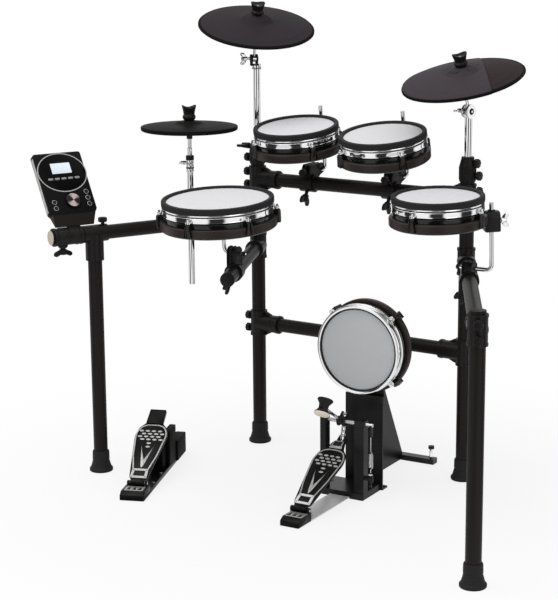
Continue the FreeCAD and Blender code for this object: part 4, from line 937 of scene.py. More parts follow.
# Rack
TEE_KNOB_SPACING = 36.0
TEE_KNOB_FOOT = 23.0
TEE_SLEEVE = 23.0
TEE_SLEEVE_BANDS = ((-36, -29), (29, 36))
TEE_SOCKET = 24.5
TEE_SOCKET_BAND = (63, 72)
TEE_BAND_RISE = 1.3
TEE_SCREW_TURNS = (60, -60)
SLEEVE_SCREW_REACH = 22.6
SOCKET_SCREW_REACH = 24.0
SOCKET_SCREW_ALONG = 50.0
GUSSET_OUTLINE = [(20, 34), (20, 20), (46, 20), (46, 24), (30, 32)]
GUSSET_HALF = 5.0
ROD_CLAMP_SLEEVE = 24.5
ROD_HOLDER = 12.0
CAST_HALF = 12.0
FIN_RISE = 2.4
FIN_HALF = 1.8
CAP_OUTLINE = [(0, -17), (16.8, -17), (16.8, -3), (19, -3), (19, -0.8), (0, 0)]
FOOT_OUTLINE = [(0, 0), (30.5, 0), (32, 2), (32, 8), (28, 12), (24.2, 25), (23.4, 29), (22.4, 30.5),
                (22.4, 32), (23.4, 33.5), (23, 54), (21.5, 58), (19.2, 58), (19.2, 7), (0, 7)]
POST_CAP_HEIGHT = 830.0
POST_CAP_NECK = 15.5
POST_CAP_NECK_BAND = (23, 28)
POST_CAP_NECK_RISE = 1.2
POST_CAP_RIBS = 16
POST_CAP_RIB_RADIUS = 21.5
RACK_WING_SHARE = 1.25
ROD_CLAMP_WING_LENGTH_SHARE = 1.5
POST_CAP_WING_LENGTH_SHARE = 1.8


def tee_places(knobs):
    """Place of each tee clamp from its pair of knobs: Z along the sleeve, X along the socket."""
    places = []
    left = list(knobs)
    while left:
        first = left.pop()
        for other in left:
            apart = other.centre - first.centre
            spaced = abs(np.linalg.norm(apart) - TEE_KNOB_SPACING) < 1
            if spaced and np.dot(first.axis, other.axis) > 0.99:
                middle = (first.centre + other.centre) / 2 + first.axis * (first.low - TEE_KNOB_FOOT)
                places.append(place_at(middle, apart, -first.axis))
                left = [item for item in left if item is not other]
                break
    return places


def collar(radius, low, high, rise):
    """Raised band round a clamp."""
    return turned_ring(inside(radius, [(1, low), (-rise, low), (-rise, high), (1, high)]), 0.9, 40)


def end_caps():
    """Plugs in the open ends of the tubes; the left bar's is pale."""
    piece = Piece("rack_end_caps")
    plugs = [spun(points) for points in solids("end_caps")]
    leftmost = min(plug.centre[0] for plug in plugs)
    for plug in plugs:
        finish = "cap_cream" if plug.centre[0] == leftmost else "clamp_black"
        end = place_at(plug.centre + plug.axis * plug.high, plug.axis)
        piece.add(turned_solid(CAP_OUTLINE, 1.2), finish, end)
    piece.build("rack", ["end_caps"], "clamp_black")


def rack_feet():
    """Flared rubber feet."""
    piece = Piece("rack_feet")
    for points in solids("rubber_feet"):
        piece.add(turned_solid(FOOT_OUTLINE, 1.5), "rubber_black", at(*middle_of(points)[:2]))
    piece.build("rack", ["rubber_feet"], "rubber_black")


def rack_knobs(knobs):
    """Hand knobs of all clamps."""
    places = [place_at(item.centre + item.axis * item.low, item.axis) for item in knobs]
    piece = Piece("rack_knobs").repeat("aimed", knob(), "clamp_black", places=places)
    piece.build("rack", ["clamp_knobs"], "clamp_black")


def tee_details(piece, place):
    """Bands and gussets of a tee clamp; gives the places of its screws."""
    for low, high in TEE_SLEEVE_BANDS:
        piece.add(collar(TEE_SLEEVE, low, high, TEE_BAND_RISE), "clamp_black", place)
    socket = crosswise(place)
    piece.add(collar(TEE_SOCKET, *TEE_SOCKET_BAND, TEE_BAND_RISE), "clamp_black", socket)
    gusset = prism(rounded(GUSSET_OUTLINE, 2.5), -GUSSET_HALF, GUSSET_HALF, 1.5)
    for side in (0, 180):
        piece.add(moved(gusset, turned_by(90, "X")), "clamp_black", place @ turned_by(side, "X"))
    screws = []
    for turn in TEE_SCREW_TURNS:
        screws.append(crosswise(place @ turned_by(turn)) @ at(0, 0, SLEEVE_SCREW_REACH))
        screws.append(crosswise(socket @ turned_by(turn)) @ at(-SOCKET_SCREW_ALONG, 0, SOCKET_SCREW_REACH))
    return screws


def post_cap_details(piece, points):
    """Ribs and neck band of the cap on a rear post."""
    top = at(*middle_of(points)[:2], points[:, 2].max())
    rib = box(2.6, 4.2, -32, 3, 1.2)
    piece.repeat("ring", rib, "clamp_black", top, Count=POST_CAP_RIBS, Radius=POST_CAP_RIB_RADIUS)
    piece.add(collar(POST_CAP_NECK, *POST_CAP_NECK_BAND, POST_CAP_NECK_RISE), "clamp_black", top)


def cast_clamp(piece, points):
    """Finned body from a rod clamp's sleeve to its rod holder, with a knob if the rod is behind the tube."""
    low, high = points.min(axis=0), points.max(axis=0)
    middle = middle_of(points)
    tube = np.array((middle[0], middle[1], low[2] + ROD_CLAMP_SLEEVE))
    up = high[2] - ROD_HOLDER - tube[2]
    back = 0.0
    along_x = np.ptp(points[points[:, 2] < tube[2]][:, 1]) < 2 * ROD_CLAMP_SLEEVE + 1
    if along_x:
        tube[1] = low[1] + ROD_CLAMP_SLEEVE
        back = high[1] - ROD_HOLDER - tube[1]
    side = rounded([(15, 14), (back + 14, up - 6), (back + 14, up + 8), (back + 5, up + 16), (-9, up + 15),
                    (-15, up + 4), (-15, 14)], 3.0)
    place = place_at(tube, X, Y)
    piece.add(prism(side, -CAST_HALF, CAST_HALF, 1.5), "clamp_black", place)
    for across in (-CAST_HALF, 0, CAST_HALF):
        fin = prism(inset(side, -FIN_RISE), across - FIN_HALF, across + FIN_HALF, 0.8)
        piece.add(fin, "clamp_black", place)
    if along_x:
        piece.add(knob(), "clamp_black", place_at(spot(place, -16, up - 4, -2), -Y, Z))


def clamp_details(knobs):
    """Bands, gussets, ribs, screws and cast bodies of the clamps."""
    piece = Piece("clamp_details")
    screws = []
    for place in tee_places(knobs):
        screws += tee_details(piece, place)
    for points in solids("rear_posts"):
        post_cap_details(piece, points)
    for points in solids("rod_clamps"):
        cast_clamp(piece, points)
    piece.repeat("aimed", screw_head(), "steel_black", places=screws)
    piece.build("rack", slot="clamp_black")


def rack_wing_bolts():
    """Wing bolts of the clamps; the right post's cap has a knob."""
    piece = Piece("rack_wing_bolts")
    for points in solids("wing_bolts"):
        place = winged_place(points)
        on_cap = place[2, 3] >= POST_CAP_HEIGHT
        if on_cap and place[0, 3] > 0:
            piece.add(knob(), "clamp_black", place)
        else:
            length_share = POST_CAP_WING_LENGTH_SHARE if on_cap else ROD_CLAMP_WING_LENGTH_SHARE
            piece.add(wing_bolt(RACK_WING_SHARE, length_share), "clamp_black", place @ turned_by(90))
    piece.build("rack", ["wing_bolts"], "clamp_black")


class KIT_OT_rack(bpy.types.Operator):
    """Tubes, feet, caps, clamps, knobs and wing bolts of the rack"""

    bl_idname = "drumkit.rack"
    bl_label = "Rack"

    def execute(self, context):
        paint("rack_black", "rear_posts", "front_legs", "cross_bars", "side_bars", "snare_arm")
        paint("clamp_black", "rack_clamps", "rod_clamps")
        knobs = [spun(points) for points in solids("clamp_knobs")]
        end_caps()
        rack_feet()
        rack_knobs(knobs)
        clamp_details(knobs)
        rack_wing_bolts()
        return {"FINISHED"}


# Drum pads
TENSION_ROD_LIMIT = 40.0
MESH_THICKNESS = 0.9
MESH_TUCK = 1.2
MESH_DIP = 0.4
ROUND_STEPS = 96
EAR_REACH = 6.0
EAR_OUTLINE = [(-10, -7.5), (1, -7.5), (4.4, -4), (4.4, 4), (1, 7.5), (-10, 7.5)]
EAR_FOOT = [(-9, -9), (-5.5, -7), (-5.5, 7), (-9, 9)]
LUG_OUTLINE = [(-10.5, 0.4), (10.5, 0.4), (9.6, 10), (6.8, 24), (6.2, 31), (4.4, 34), (-4.4, 34),
               (-6.2, 31), (-6.8, 24), (-9.6, 10)]
LUG_RIDGE = (8.0, 3.4)
SHELL_WALL = 1.5
BRACKET_OUTLINE = [(-22, -15), (22, -15), (22, 22), (14, 35), (-14, 35), (-22, 22)]
BRACKET_BOSS = 16.0
BRACKET_SCREWS = [(-13, -7), (-13, 24), (13, -7), (13, 24)]
BRACKET_BOLT_DROP = 9.0
BENT_ROD = 5.5
BENT_ROD_CURVE = 16.0
BENT_ROD_TIP = 5.8


class PadPlace:
    """Where a pad is: its place on the underside of the shell, its radius and its tension rods."""

    def __init__(self, name, facing):
        heights = bpy.context.scene.kit_pads
        guard = max(solids(name + "_head"), key=lambda points: np.ptp(points, axis=0).max())
        turned = spun(guard, facing)
        base = turned.centre + turned.axis * (turned.high - mm(heights.guard_top))
        rods = []
        for points in solids(name + "_hoop"):
            if np.ptp(points, axis=0).max() < TENSION_ROD_LIMIT:
                rods.append(points.mean(axis=0))
        self.radius = turned.radius
        self.inner = turned.radius - mm(heights.guard_width)
        self.count = len(rods)
        self.place = place_at(base, turned.axis, rods[0] - base)
        self.name = name

    def angle_to(self, point):
        """Angle of a point round the pad, in degrees."""
        local = np.linalg.inv(self.place) @ np.append(point, 1.0)
        return math.degrees(math.atan2(local[1], local[0]))


def mesh_head(pad, body, finish):
    """Mesh head drawn tight inside the guard, a little higher in its middle."""
    heights = bpy.context.scene.kit_pads
    level = mm(heights.head_top) - MESH_DIP
    crown = mm(heights.crown)
    rim = pad.inner + MESH_TUCK
    upper = [(rim, level)]
    upper += [(pad.inner * share, level + crown * (1 - share ** 2)) for share in np.linspace(1, 0, 7)]
    under = [(reach, height - MESH_THICKNESS) for reach, height in reversed(upper)]
    piece = Piece(pad.name + "_mesh_head").add(lathe(under + upper, ROUND_STEPS), finish, pad.place)
    mesh = piece.build(body, [pad.name + "_head"], "head_white")


def rim_guard(pad, body, lip):
    """Rubber guard over the head's rim, and a steel lip round it where the pad has one."""
    heights = bpy.context.scene.kit_pads
    top = mm(heights.head_top)
    high = mm(heights.guard_top)
    low = mm(heights.bead_top) + 0.1
    radius = pad.radius - lip
    ring = inside(pad.inner, [(0, top - 2.8), (0, top + 0.6), (-1.6, high - 0.7), (-2.8, high)])
    outer = [(1.4, high), (0, high - 2.2), (0, low + 1.2), (0.8, low), (1.4, low), (1.4, top - 2.8)]
    ring += inside(radius, outer)
    piece = Piece(pad.name + "_rim_guard")
    piece.add(turned_ring(ring, 1.2, ROUND_STEPS), "rubber_black", pad.place)
    if lip:
        steel = inside(radius, [(0.4, low + 0.4), (0.4, high - 1.6), (-1.4, high - 0.4)])
        steel += inside(pad.radius, [(1.6, high - 0.4), (0, high - 2.4), (0, low + 0.4)])
        piece.add(turned_ring(steel, 1.2, ROUND_STEPS), "chrome", pad.place)
    piece.build(body, [pad.name + "_head"], "rubber_black")


def pad_hoop(pad, body, lift=0.0):
    """Steel hoop with its ears and tension rods; lift narrows its band from below."""
    heights = bpy.context.scene.kit_pads
    low = mm(heights.hoop_low) + lift
    top = mm(heights.band_top)
    bead_low = mm(heights.bead_low)
    bead = mm(heights.bead_top)
    section = [(6, low + 0.6), (4.5, low), (0.2, low - 0.2), (1, low + 2), (1, top - 1), (1.8, top),
               (3.2, top + 0.4), (3.2, bead_low - 0.3), (1, bead_low), (0.6, bead - 2), (1.4, bead),
               (3, bead), (3, bead + 2.5), (6, bead + 2.5)]
    piece = Piece(pad.name + "_steel_hoop")
    piece.add(turned_ring(inside(pad.radius, section), 0.7, ROUND_STEPS), "chrome", pad.place)
    # Black ring set in the groove between band and bead: painted shade of the groove.
    groove = rectangle(2.0, bead_low - top - 0.4) + np.array((pad.radius - 2.9, (bead_low + top) / 2))
    piece.add(lathe(groove, ROUND_STEPS), "rubber_black", pad.place)
    tab = prism(rounded(EAR_OUTLINE, 2.5), low, low + 4, 0.8)
    ear = joined(tab, prism(rounded(EAR_FOOT, 0.8), low + 1, top - 1, 0.7))
    stem = rod(3, low - lift - 3, low + 6, segments=16)
    washer = rod(5.4, low + 4.1, low + 5.6, 0.4, 20)
    key = joined(stem, washer, prism(rectangle(6.4, 6.4, 0.8), low + 5.4, low + 11.1, 0.7))
    for shape in (ear, key):
        piece.repeat("ring", shape, "chrome", pad.place, Count=pad.count, Radius=pad.radius + EAR_REACH)
    piece.build(body, [pad.name + "_hoop"], "chrome")


def pad_lug():
    """Black lug, wider at its foot; X runs away from the shell's wall."""
    body = moved(prism(rounded(LUG_OUTLINE, 1.6), -8, 8.2, 1.6), place_at((0, 0, 0), X, Y))
    return joined(body, moved(rod(5.6, 30, 35, 0.8, 24), at(0.5)))


def lug_highlight_ridges():
    """Two ridges on a lug's face, in the lighter satin colour as painted highlight lines."""
    ridge = box(2.4, 2.2, 3, 30, 0.8)
    face, apart = LUG_RIDGE
    return joined(moved(ridge, at(face, -apart)), moved(ridge, at(face, apart)))


def pad_bracket(piece, place, wall, drop):
    """Bracket that grips the rod; the place's X runs from the pad's middle to it."""
    face = wall + mm(bpy.context.scene.kit_pads.bracket_reach)
    outward = place @ at(0, 0, -drop) @ place_at((0, 0, 0), X, Y)
    arch = rounded(BRACKET_OUTLINE, 7, steps=4)
    piece.add(prism(arch, wall - 2.5, face, 2.0), "clamp_black", outward)
    # Lighter satin strip round the arch: a painted highlight along its raised edge.
    piece.add(strip(inset(arch, 0.6), 3.2, face - 1, face + 1.6), "shell_satin", outward)
    piece.add(prism(rectangle(8, 44, 2), face - 1, face + 1.2, 0.6), "clamp_black", outward @ at(0, 10))
    piece.add(rod(9.5, -17, 38, 1.0, 24), "clamp_black", place @ at(wall + BRACKET_BOSS, 0, -drop))
    screws = [outward @ at(across, height, face) for across, height in BRACKET_SCREWS]
    piece.repeat("aimed", screw_head(2.6, 1.6), "steel_black", places=screws)


def pad_shell(pad, body, bracket=None, bracket_drop=0.0, lift=0.0):
    """Gloss shell with its lugs, and a hanging pad's bracket at its angle; lift is the hoop's."""
    heights = bpy.context.scene.kit_pads
    wall = pad.radius + SHELL_WALL
    top = mm(heights.shell_top) + lift
    seat = mm(heights.head_top) - 3.1
    edge = pad.inner - 1.2
    drop = mm(heights.shell_drop) if bracket is not None else 0.0
    flange = wall + mm(heights.ring_reach)
    ring = [(0, 1.2), (pad.radius * 0.55, 1.2), (pad.radius * 0.58, 0), (flange - 5, -drop),
            (flange, 4 - drop), (flange, 17), (flange - 2, 20), (flange - 6, 20.6), (0, 20.6)]
    upper = [(0, 19), (wall - 3.4, 19), (wall - 3.4, top - 3), (wall - 5, top), (edge, top), (edge, seat),
             (edge - 3, seat), (edge - 3, top - 3), (0, top - 3)]
    piece = Piece(pad.name + "_gloss_shell")
    piece.add(turned_solid(ring, 1.6, ROUND_STEPS), "shell_satin", pad.place)
    piece.add(turned_solid(upper, 1.2, ROUND_STEPS), "shell_black", pad.place)
    # The ridges' lighter satin colour is a painted highlight.
    for shape, finish in ((pad_lug(), "shell_black"), (lug_highlight_ridges(), "shell_satin")):
        piece.repeat("ring", shape, finish, pad.place, Count=pad.count, Radius=flange - 1)
    if bracket is not None:
        pad_bracket(piece, pad.place @ turned_by(bracket), wall, bracket_drop)
    piece.build(body, [pad.name + "_shell"], "shell_black")


def pad_rod(pad, body, stub=0.0, bracket_drop=0.0):
    """Bent rod from the bracket to the rack's clamp, with a wing bolt; a stub lengthens its top."""
    wings, bar = sorted(solids(pad.name + "_rod"), key=lambda points: np.ptp(points, axis=0).max())
    corner = joint_spot(pad.name + "_tilt")
    up = pad.place[:3, 2]
    rise = ((bar - corner) @ up).max() + stub
    level = (bar - corner) @ X
    reach = level.max() if level.max() > -level.min() else level.min()
    path = rounded([corner + up * rise, corner, corner + X * reach], BENT_ROD_CURVE, closed=False, steps=8)
    piece = Piece(pad.name + "_bent_rod")
    piece.add(pipe(path, BENT_ROD, 24), "chrome")
    tail = place_at(corner + X * reach, X * math.copysign(1, reach), Z)
    piece.add(rod(BENT_ROD_TIP, -10, 0.6, 0.8, 24), "rubber_black", tail)
    lowered = at(*(up * -(BRACKET_BOLT_DROP + bracket_drop)))
    piece.add(wing_bolt(), "chrome", lowered @ winged_place(wings))
    piece.build(body, [pad.name + "_rod"], "chrome")


class KIT_OT_pads(bpy.types.Operator):
    """Four hanging drum pads and the kick pad"""

    bl_idname = "drumkit.pads"
    bl_label = "Drum pads"

    def execute(self, context):
        heights = context.scene.kit_pads
        for name in ("snare", "left_tom", "right_tom", "floor_tom"):
            pad = PadPlace(name, Z)
            on_floor_tom = name == "floor_tom"
            drop = mm(heights.floor_drop) if on_floor_tom else 0.0
            stub = mm(heights.floor_stub) if on_floor_tom else 0.0
            mesh_head(pad, name, "head_white")
            rim_guard(pad, name, 0.0)
            pad_hoop(pad, name)
            pad_shell(pad, name, pad.angle_to(joint_spot(name + "_tilt")), drop)
            pad_rod(pad, name, stub, drop)
        kick = PadPlace("kick", -Y)
        lift = mm(heights.kick_lift)
        # The kick head's darker finish is painted shade.
        mesh_head(kick, "rack", "kick_grey")
        rim_guard(kick, "rack", mm(heights.kick_lip))
        pad_hoop(kick, "rack", lift)
        pad_shell(kick, "rack", lift=lift)
        return {"FINISHED"}


# Cymbals
CYMBAL_STEPS = 160
NUT_HOLE = 6.5
ZONE_SIDE = np.array((0.84, 0.54, 0.0))
ZONE_CHORD_SHARE = 0.36
ZONE_POINTS = 44
ZONE_START = 47.0
ZONE_BLEND = 8.0
ZONE_SINK = 2.4
ZONE_SKIN = 0.3
ZONE_SETTLE = 0.9
LIP_POINTS = 120
LIP_DEPTH = 1.8
LIP_RADIUS = 3.2
LIP_HEIGHT_SHARE = 1.45
DOME_REACH = 15.5
DOME_HOLE = 8.0
DOME_GAP = 0.6
NUT_FOOT = 14.0
NUT_WAIST = 14.0
NUT_CUP = [(17, 4.4), (17.6, 5.4), (17.6, 10), (16.4, 11.2), (15, 12.4), (15.4, 18), (19.4, 33), (19, 35),
           (16, 35), (13, 29), (0, 26)]
NUT_DIP_SHARE = 0.72
HAT_NUT_SHARE = 1.18
STAND_TUBE = 9.5
SCREW_TO_EARS = 39.8
EAR_GAP = 4.9
EAR_WIDTH = 5.0
CRASH_EARS = 12.0
RIDE_EARS = 19.0
STAND_COLLAR = [(0, -31), (11.4, -31), (12.4, -29), (12.4, -20), (10.4, -14), (0, -12)]
HAT_TUBE = 8.5
HAT_TUBE_TOP = 815.0
HAT_BANDS = (("chrome", 10, 808, 818), ("clamp_black", 10.6, 817, 822), ("chrome", 10.2, 821, 830),
             ("clamp_black", 9.6, 829.5, 832), ("chrome", 10.2, 831.5, 841), ("clamp_black", 11, 840, 853))
HAT_PULL_ROD = 4.0
HAT_SEAT = [(0, 898), (8, 898), (8, 918), (10, 919), (17, 921.5), (17, 923), (8, 930.5), (5.3, 932),
            (0, 932)]
HAT_SCREW_HEIGHT = 833.0
HAT_SCREW_SIDE = np.array((-0.84, -0.54, 0.0))
HAT_SCREW_SHARE = 0.8


def bow_under(radius):
    """Underside of a crash or ride pad, from its hole to its edge."""
    return [(NUT_HOLE, 26), (17, 26), (30, 22), (40, 14.5), (48, 12), (radius * 0.82, 1), (radius - 3, -4),
            (radius, -1.5)]


def bow_top(radius):
    """Top of a crash or ride pad, from its edge to its hole."""
    return [(radius, 0.8), (radius - 3, 3.5), (radius * 0.84, 8.2), (radius * 0.825, 9.3),
            (radius * 0.6, 14.6), (50, 20.4), (44, 22.4), (33, 31.5), (17, 35), (NUT_HOLE, 35)]


def hat_outline(radius):
    """Section of the hi-hat pad."""
    groove = mm(bpy.context.scene.kit_cymbals.edge_groove)
    edge = inside(radius, [(5, -8), (1, -6), (0.4, -3.4), (groove, -3), (groove, -2.2), (0, -1.8),
                           (0, 2.2), (1.4, 3.8)])
    return [(NUT_HOLE, 4), (20, 4), (36, -5), (42, -8)] + edge + [
        (radius * 0.7, 8.4), (46, 10.4), (39, 11.6), (29, 16.5), (20, 18), (NUT_HOLE, 18)]


def bow_edge(radius):
    """Dark edge band of a crash or ride pad."""
    section = [(7, -1), (3, -4.3), (-0.3, -1.7), (-0.3, 1.1), (3, 3.8), (6.4, 4.6), (7, 3)]
    return lathe(inside(radius, section), CYMBAL_STEPS)


def zone_rows(radius, rise):
    """Rows of points across the raised zone, under it and on its top; X runs to the low side."""
    bow = np.array(sorted(bow_top(radius)))
    edge = radius - 0.2
    low, top = [], []
    for across in np.linspace(-edge * 0.999, ZONE_CHORD_SHARE * radius, ZONE_POINTS):
        half = math.sqrt(edge ** 2 - across ** 2)
        line = np.linspace(-half, half, ZONE_POINTS)
        reach = np.hypot(across, line)
        level = np.interp(reach, bow[:, 0], bow[:, 1])
        far_share = np.clip((radius - line) / (0.5 * radius), 0.2, 1)
        lift = (rise - ZONE_SETTLE) * np.clip((reach - ZONE_START) / ZONE_BLEND, 0, 1) * far_share
        low.append(np.c_[np.full(ZONE_POINTS, across), line, level - ZONE_SINK])
        top.append(np.c_[np.full(ZONE_POINTS, across), line, level + ZONE_SKIN + lift])
    return low, top


def zone_plate(radius, rise):
    """Raised playing zone: all of the bow on one side of a chord."""
    low, top = zone_rows(radius, rise)
    count = ZONE_POINTS
    half_way = count * count
    faces = []
    for row in range(count - 1):
        for column in range(count - 1):
            first = row * count + column
            faces.append((first, first + 1, first + count + 1, first + count))
            over = half_way + first
            faces.append((over, over + count, over + count + 1, over + 1))
    rim = list(range(count))
    rim += [row * count + count - 1 for row in range(1, count)]
    rim += [(count - 1) * count + column for column in range(count - 2, -1, -1)]
    rim += [row * count for row in range(count - 2, 0, -1)]
    for corner, after in zip(rim, rim[1:] + rim[:1]):
        faces.append((corner, half_way + corner, half_way + after, after))
    return Shape(np.vstack(low + top), faces)


def zone_lip(radius):
    """Thick rim under the raised zone; X runs to the low side."""
    start = math.acos(ZONE_CHORD_SHARE)
    angles = np.linspace(start, 2 * math.pi - start, LIP_POINTS)
    reach = radius - LIP_DEPTH
    line = pipe(np.c_[np.cos(angles) * reach, np.sin(angles) * reach, np.zeros(LIP_POINTS)], LIP_RADIUS, 12)
    return Shape(line.points * np.array((1.0, 1.0, LIP_HEIGHT_SHARE)), line.faces)


def ball_line(radius, middle, start, end):
    """Section of a ball between two distances from its axis."""
    return [(reach, middle + math.sqrt(radius ** 2 - reach ** 2)) for reach in np.linspace(start, end, 6)]


def swing_dome(radius, middle, low):
    """Domed washer on a pad, round about the point the pad rocks on, so that the nut clears it."""
    foot = [(DOME_HOLE, low), (DOME_REACH + 0.3, low)]
    return turned_ring(foot + ball_line(radius, middle, DOME_REACH, DOME_HOLE), 0.3)


def cymbal_nut(radius, middle, height_share):
    """Cup-shaped nut with two low horns over a dome."""
    waist = NUT_WAIST * height_share
    cup = [(reach, height * height_share) for reach, height in NUT_CUP]
    outline = ball_line(radius, middle, 0, NUT_FOOT) + cup
    shape = lathe(rounded(outline, 1.2, closed=False, steps=4), 64)
    points = shape.points.copy()
    angles = np.arctan2(points[:, 1], points[:, 0])
    high = points[:, 2] > waist
    share = NUT_DIP_SHARE + (1 - NUT_DIP_SHARE) * np.abs(np.cos(angles)) ** 1.6
    points[high, 2] = waist + (points[high, 2] - waist) * share[high]
    return Shape(points, shape.faces)


def rubber_pad(name, finish):
    """Crash, ride or hi-hat pad with its domed washer; gives the dome's radius."""
    solid = spun(solids(name + "_pad")[0], Z)
    radius = solid.radius
    hat = name == "hihat"
    outline = hat_outline(radius) if hat else bow_under(radius) + bow_top(radius)
    high = max(height for _, height in outline)
    place = place_at(solid.centre + solid.axis * (solid.high - high), solid.axis, X)
    piece = Piece(name + "_rubber_pad")
    piece.add(turned_ring(outline, 1.2 if hat else 3.5, CYMBAL_STEPS), finish, place)
    if not hat:
        piece.add(bow_edge(radius), "edge_black", place)
    if name == "ride":
        level = place_at(place[:3, 3], solid.axis, ZONE_SIDE)
        piece.add(zone_plate(radius, mm(bpy.context.scene.kit_cymbals.zone_rise)), "ride_zone", level)
        piece.add(zone_lip(radius), "edge_black", level)
    middle = np.dot(joint_spot(name + "_swing") - place[:3, 3], solid.axis)
    dome = math.hypot(DOME_REACH, high - middle)
    piece.add(swing_dome(dome, middle, high - 1), "clamp_black", place)
    piece.build(name + "_cymbal", [name + "_pad"], "cymbal_grey")
    return dome


def horned_nut(name, body, dome, height_share=1.0):
    """Nut that holds a pad, clear of its dome."""
    solid = spun(solids(name + "_nut")[0], Z)
    foot = solid.centre + solid.axis * solid.low
    middle = np.dot(joint_spot(name + "_swing") - foot, solid.axis)
    piece = Piece(name + "_horned_nut")
    shape = cymbal_nut(dome + DOME_GAP, middle, height_share)
    piece.add(shape, "clamp_black", place_at(foot, solid.axis, X + Y))
    piece.build(body, [name + "_nut"], "clamp_black")


def ear_pair(piece, place, radius, finish):
    """Two round ears of a tilter with their bolt; the place's Z is the bolt's axis."""
    for side in (EAR_GAP, -EAR_GAP - EAR_WIDTH):
        piece.add(rod(radius, side, side + EAR_WIDTH, 1.2, 40), finish, place)
    piece.add(rod(3.2, -12, 12), "chrome", place)


def cymbal_stand(name, ears, screw_side, slender):
    """Stand tube with its tilter ears and wing screw; a slender one has a collar and dark ears on necks."""
    points = np.vstack(solids(name + "_tube"))
    pivot = joint_spot(name + "_tilt")
    axis = joint_axis(name + "_tilt")
    low = points[:, 2].min() - pivot[2]
    place = place_at(pivot, Z, np.cross(axis, Z))
    ears_middle = pivot + axis * (((points - pivot) @ axis).min() + SCREW_TO_EARS)
    bolt = place_at(ears_middle, axis, Z)
    piece = Piece(name + "_stand")
    if slender:
        piece.add(rod(STAND_TUBE, low, -22), "chrome", place)
        piece.add(turned_solid(STAND_COLLAR, 1.0), "chrome", place)
        piece.add(collar(11.6, -27.5, -24.5, 1.1), "clamp_black", place)
        for side in (-1, 1):
            neck = place_at(ears_middle + axis * side * (EAR_GAP + EAR_WIDTH / 2), Z, axis)
            piece.add(box(4.8, 18, -20, 0, 1.0), "clamp_black", neck)
    else:
        piece.add(rod(STAND_TUBE, low, -14.5), "chrome", place)
        piece.add(rod(ears * 0.45, -11, 11, 0.8), "clamp_black", bolt)
    ear_pair(piece, bolt, ears, "clamp_black" if slender else "chrome")
    screw = place_at(ears_middle - axis * (EAR_GAP + EAR_WIDTH), -axis, screw_side)
    piece.add(wing_bolt(), "chrome", screw)
    piece.build(name + "_stand", [name + "_tube"], "chrome")


def hat_stand():
    """Hi-hat tube with its banded joint, wing screw and pull rod."""
    points = np.vstack(solids("hihat_stand"))
    place = at(*joint_spot("hihat_swing")[:2])
    piece = Piece("hihat_stand_rod")
    piece.add(rod(HAT_TUBE, points[:, 2].min(), HAT_TUBE_TOP), "chrome", place)
    for finish, radius, start, end in HAT_BANDS:
        piece.add(rod(radius, start, end, 1.2, 40), finish, place)
    piece.add(rod(HAT_PULL_ROD, 848, points[:, 2].max()), "chrome", place)
    piece.add(rod(5.4, 850, 899, 0.8), "chrome", place)
    piece.add(rod(6.6, 850, 874, 1.5), "chrome", place)
    piece.add(turned_solid(HAT_SEAT, 0.8, 40), "clamp_black", place)
    screw = place_at(spot(place, z=HAT_SCREW_HEIGHT), HAT_SCREW_SIDE, np.cross(Z, HAT_SCREW_SIDE))
    piece.add(wing_bolt(HAT_SCREW_SHARE), "chrome", screw)
    piece.build("hihat_rod", ["hihat_stand"], "chrome")


class KIT_OT_cymbals(bpy.types.Operator):
    """Crash, ride and hi-hat pads with their nuts and stands"""

    bl_idname = "drumkit.cymbals"
    bl_label = "Cymbals"

    def execute(self, context):
        for name, finish in (("crash", "cymbal_grey"), ("ride", "ride_low")):
            horned_nut(name, name + "_arm", rubber_pad(name, finish))
        horned_nut("hihat", "hihat_rod", rubber_pad("hihat", "hat_grey"), HAT_NUT_SHARE)
        cymbal_stand("crash", CRASH_EARS, Z, slender=True)
        cymbal_stand("ride", RIDE_EARS, np.cross(joint_axis("ride_tilt"), Z), slender=False)
        paint("chrome", "crash_tilter", "ride_tilter")
        hat_stand()
        return {"FINISHED"}


# Kick tower and pedals
SHAFT_SETBACK = 72.0
BOARD_LOW = 2.0
BOARD_FACE = 8.2
BOARD_HALF = [(24, 9), (35, 90), (45, 166), (39, 196), (22, 216)]
TRIM_HALF = [(21.5, 39), (25.4, 58), (33.4, 90), (43.2, 166), (40.6, 184), (31, 201), (16, 208)]
TRIM_WIDTH = 3.4
INLAY_OUTLINE = [(-18, 134), (-12.4, 112), (0, 77), (12.4, 112), (18, 134), (4.4, 58), (0, 47), (-4.4, 58)]
HEEL_TRIM_HALF = [(23, 11), (21.5, 44)]
HEEL_TRIM_WIDTH = 7.0
GRIP_OUTLINE = [(0, -0.6), (5, -0.6), (3.8, 1.0), (0, 1.5)]
GRIP_SHARES = np.array((1.45, 0.76, 0.6))
GRIPS_ALONG = 153.0
GRIP_PAIR_ALONG = 126.0
GRIP_PAIR_STEP = 13.0
KICK_TOE = (18, 238)
CONTROLLER_TOE = (22, 264)
CLIP_ALONG = 250.0
CLIP_REACH = 8.0
NECK_HALF = [(19, 213), (14.5, 226), (14.5, 240)]
CLIP_PLATE_ALONG = 229.0
TOE_BLOCK_START = (23.5, 211)
TOE_BLOCK_END = 22.5
HEEL_OUTLINE = [(0, 0.2), (67, 0.2), (67, 23), (14, 23), (0, 14)]
HEEL_TOP = 23.0
HEEL_PLATE_ALONG = 39.5
HEEL_PIN_ALONG = 58.0
HEEL_PIN_HEIGHT = 30.0
CHEEK_REACH = 24.0
KICK_HEEL_HALF = 27.0
KICK_HEEL_BACK = -350.0
CONTROLLER_HEEL_HALF = 33.0
PLATE_ALONG = -149.0
BEARINGS = (-50, 56)
BEARING_HEIGHT = 203.0
BASE_BOLTS = [(-58, -74), (-58, -20), (58, -74), (58, -20)]
BASE_BOLT_HEIGHT = 18.0
CLAMP_SCREW = (-69, -64)
SPRING_NUTS = ((52, 60), (64, 74))
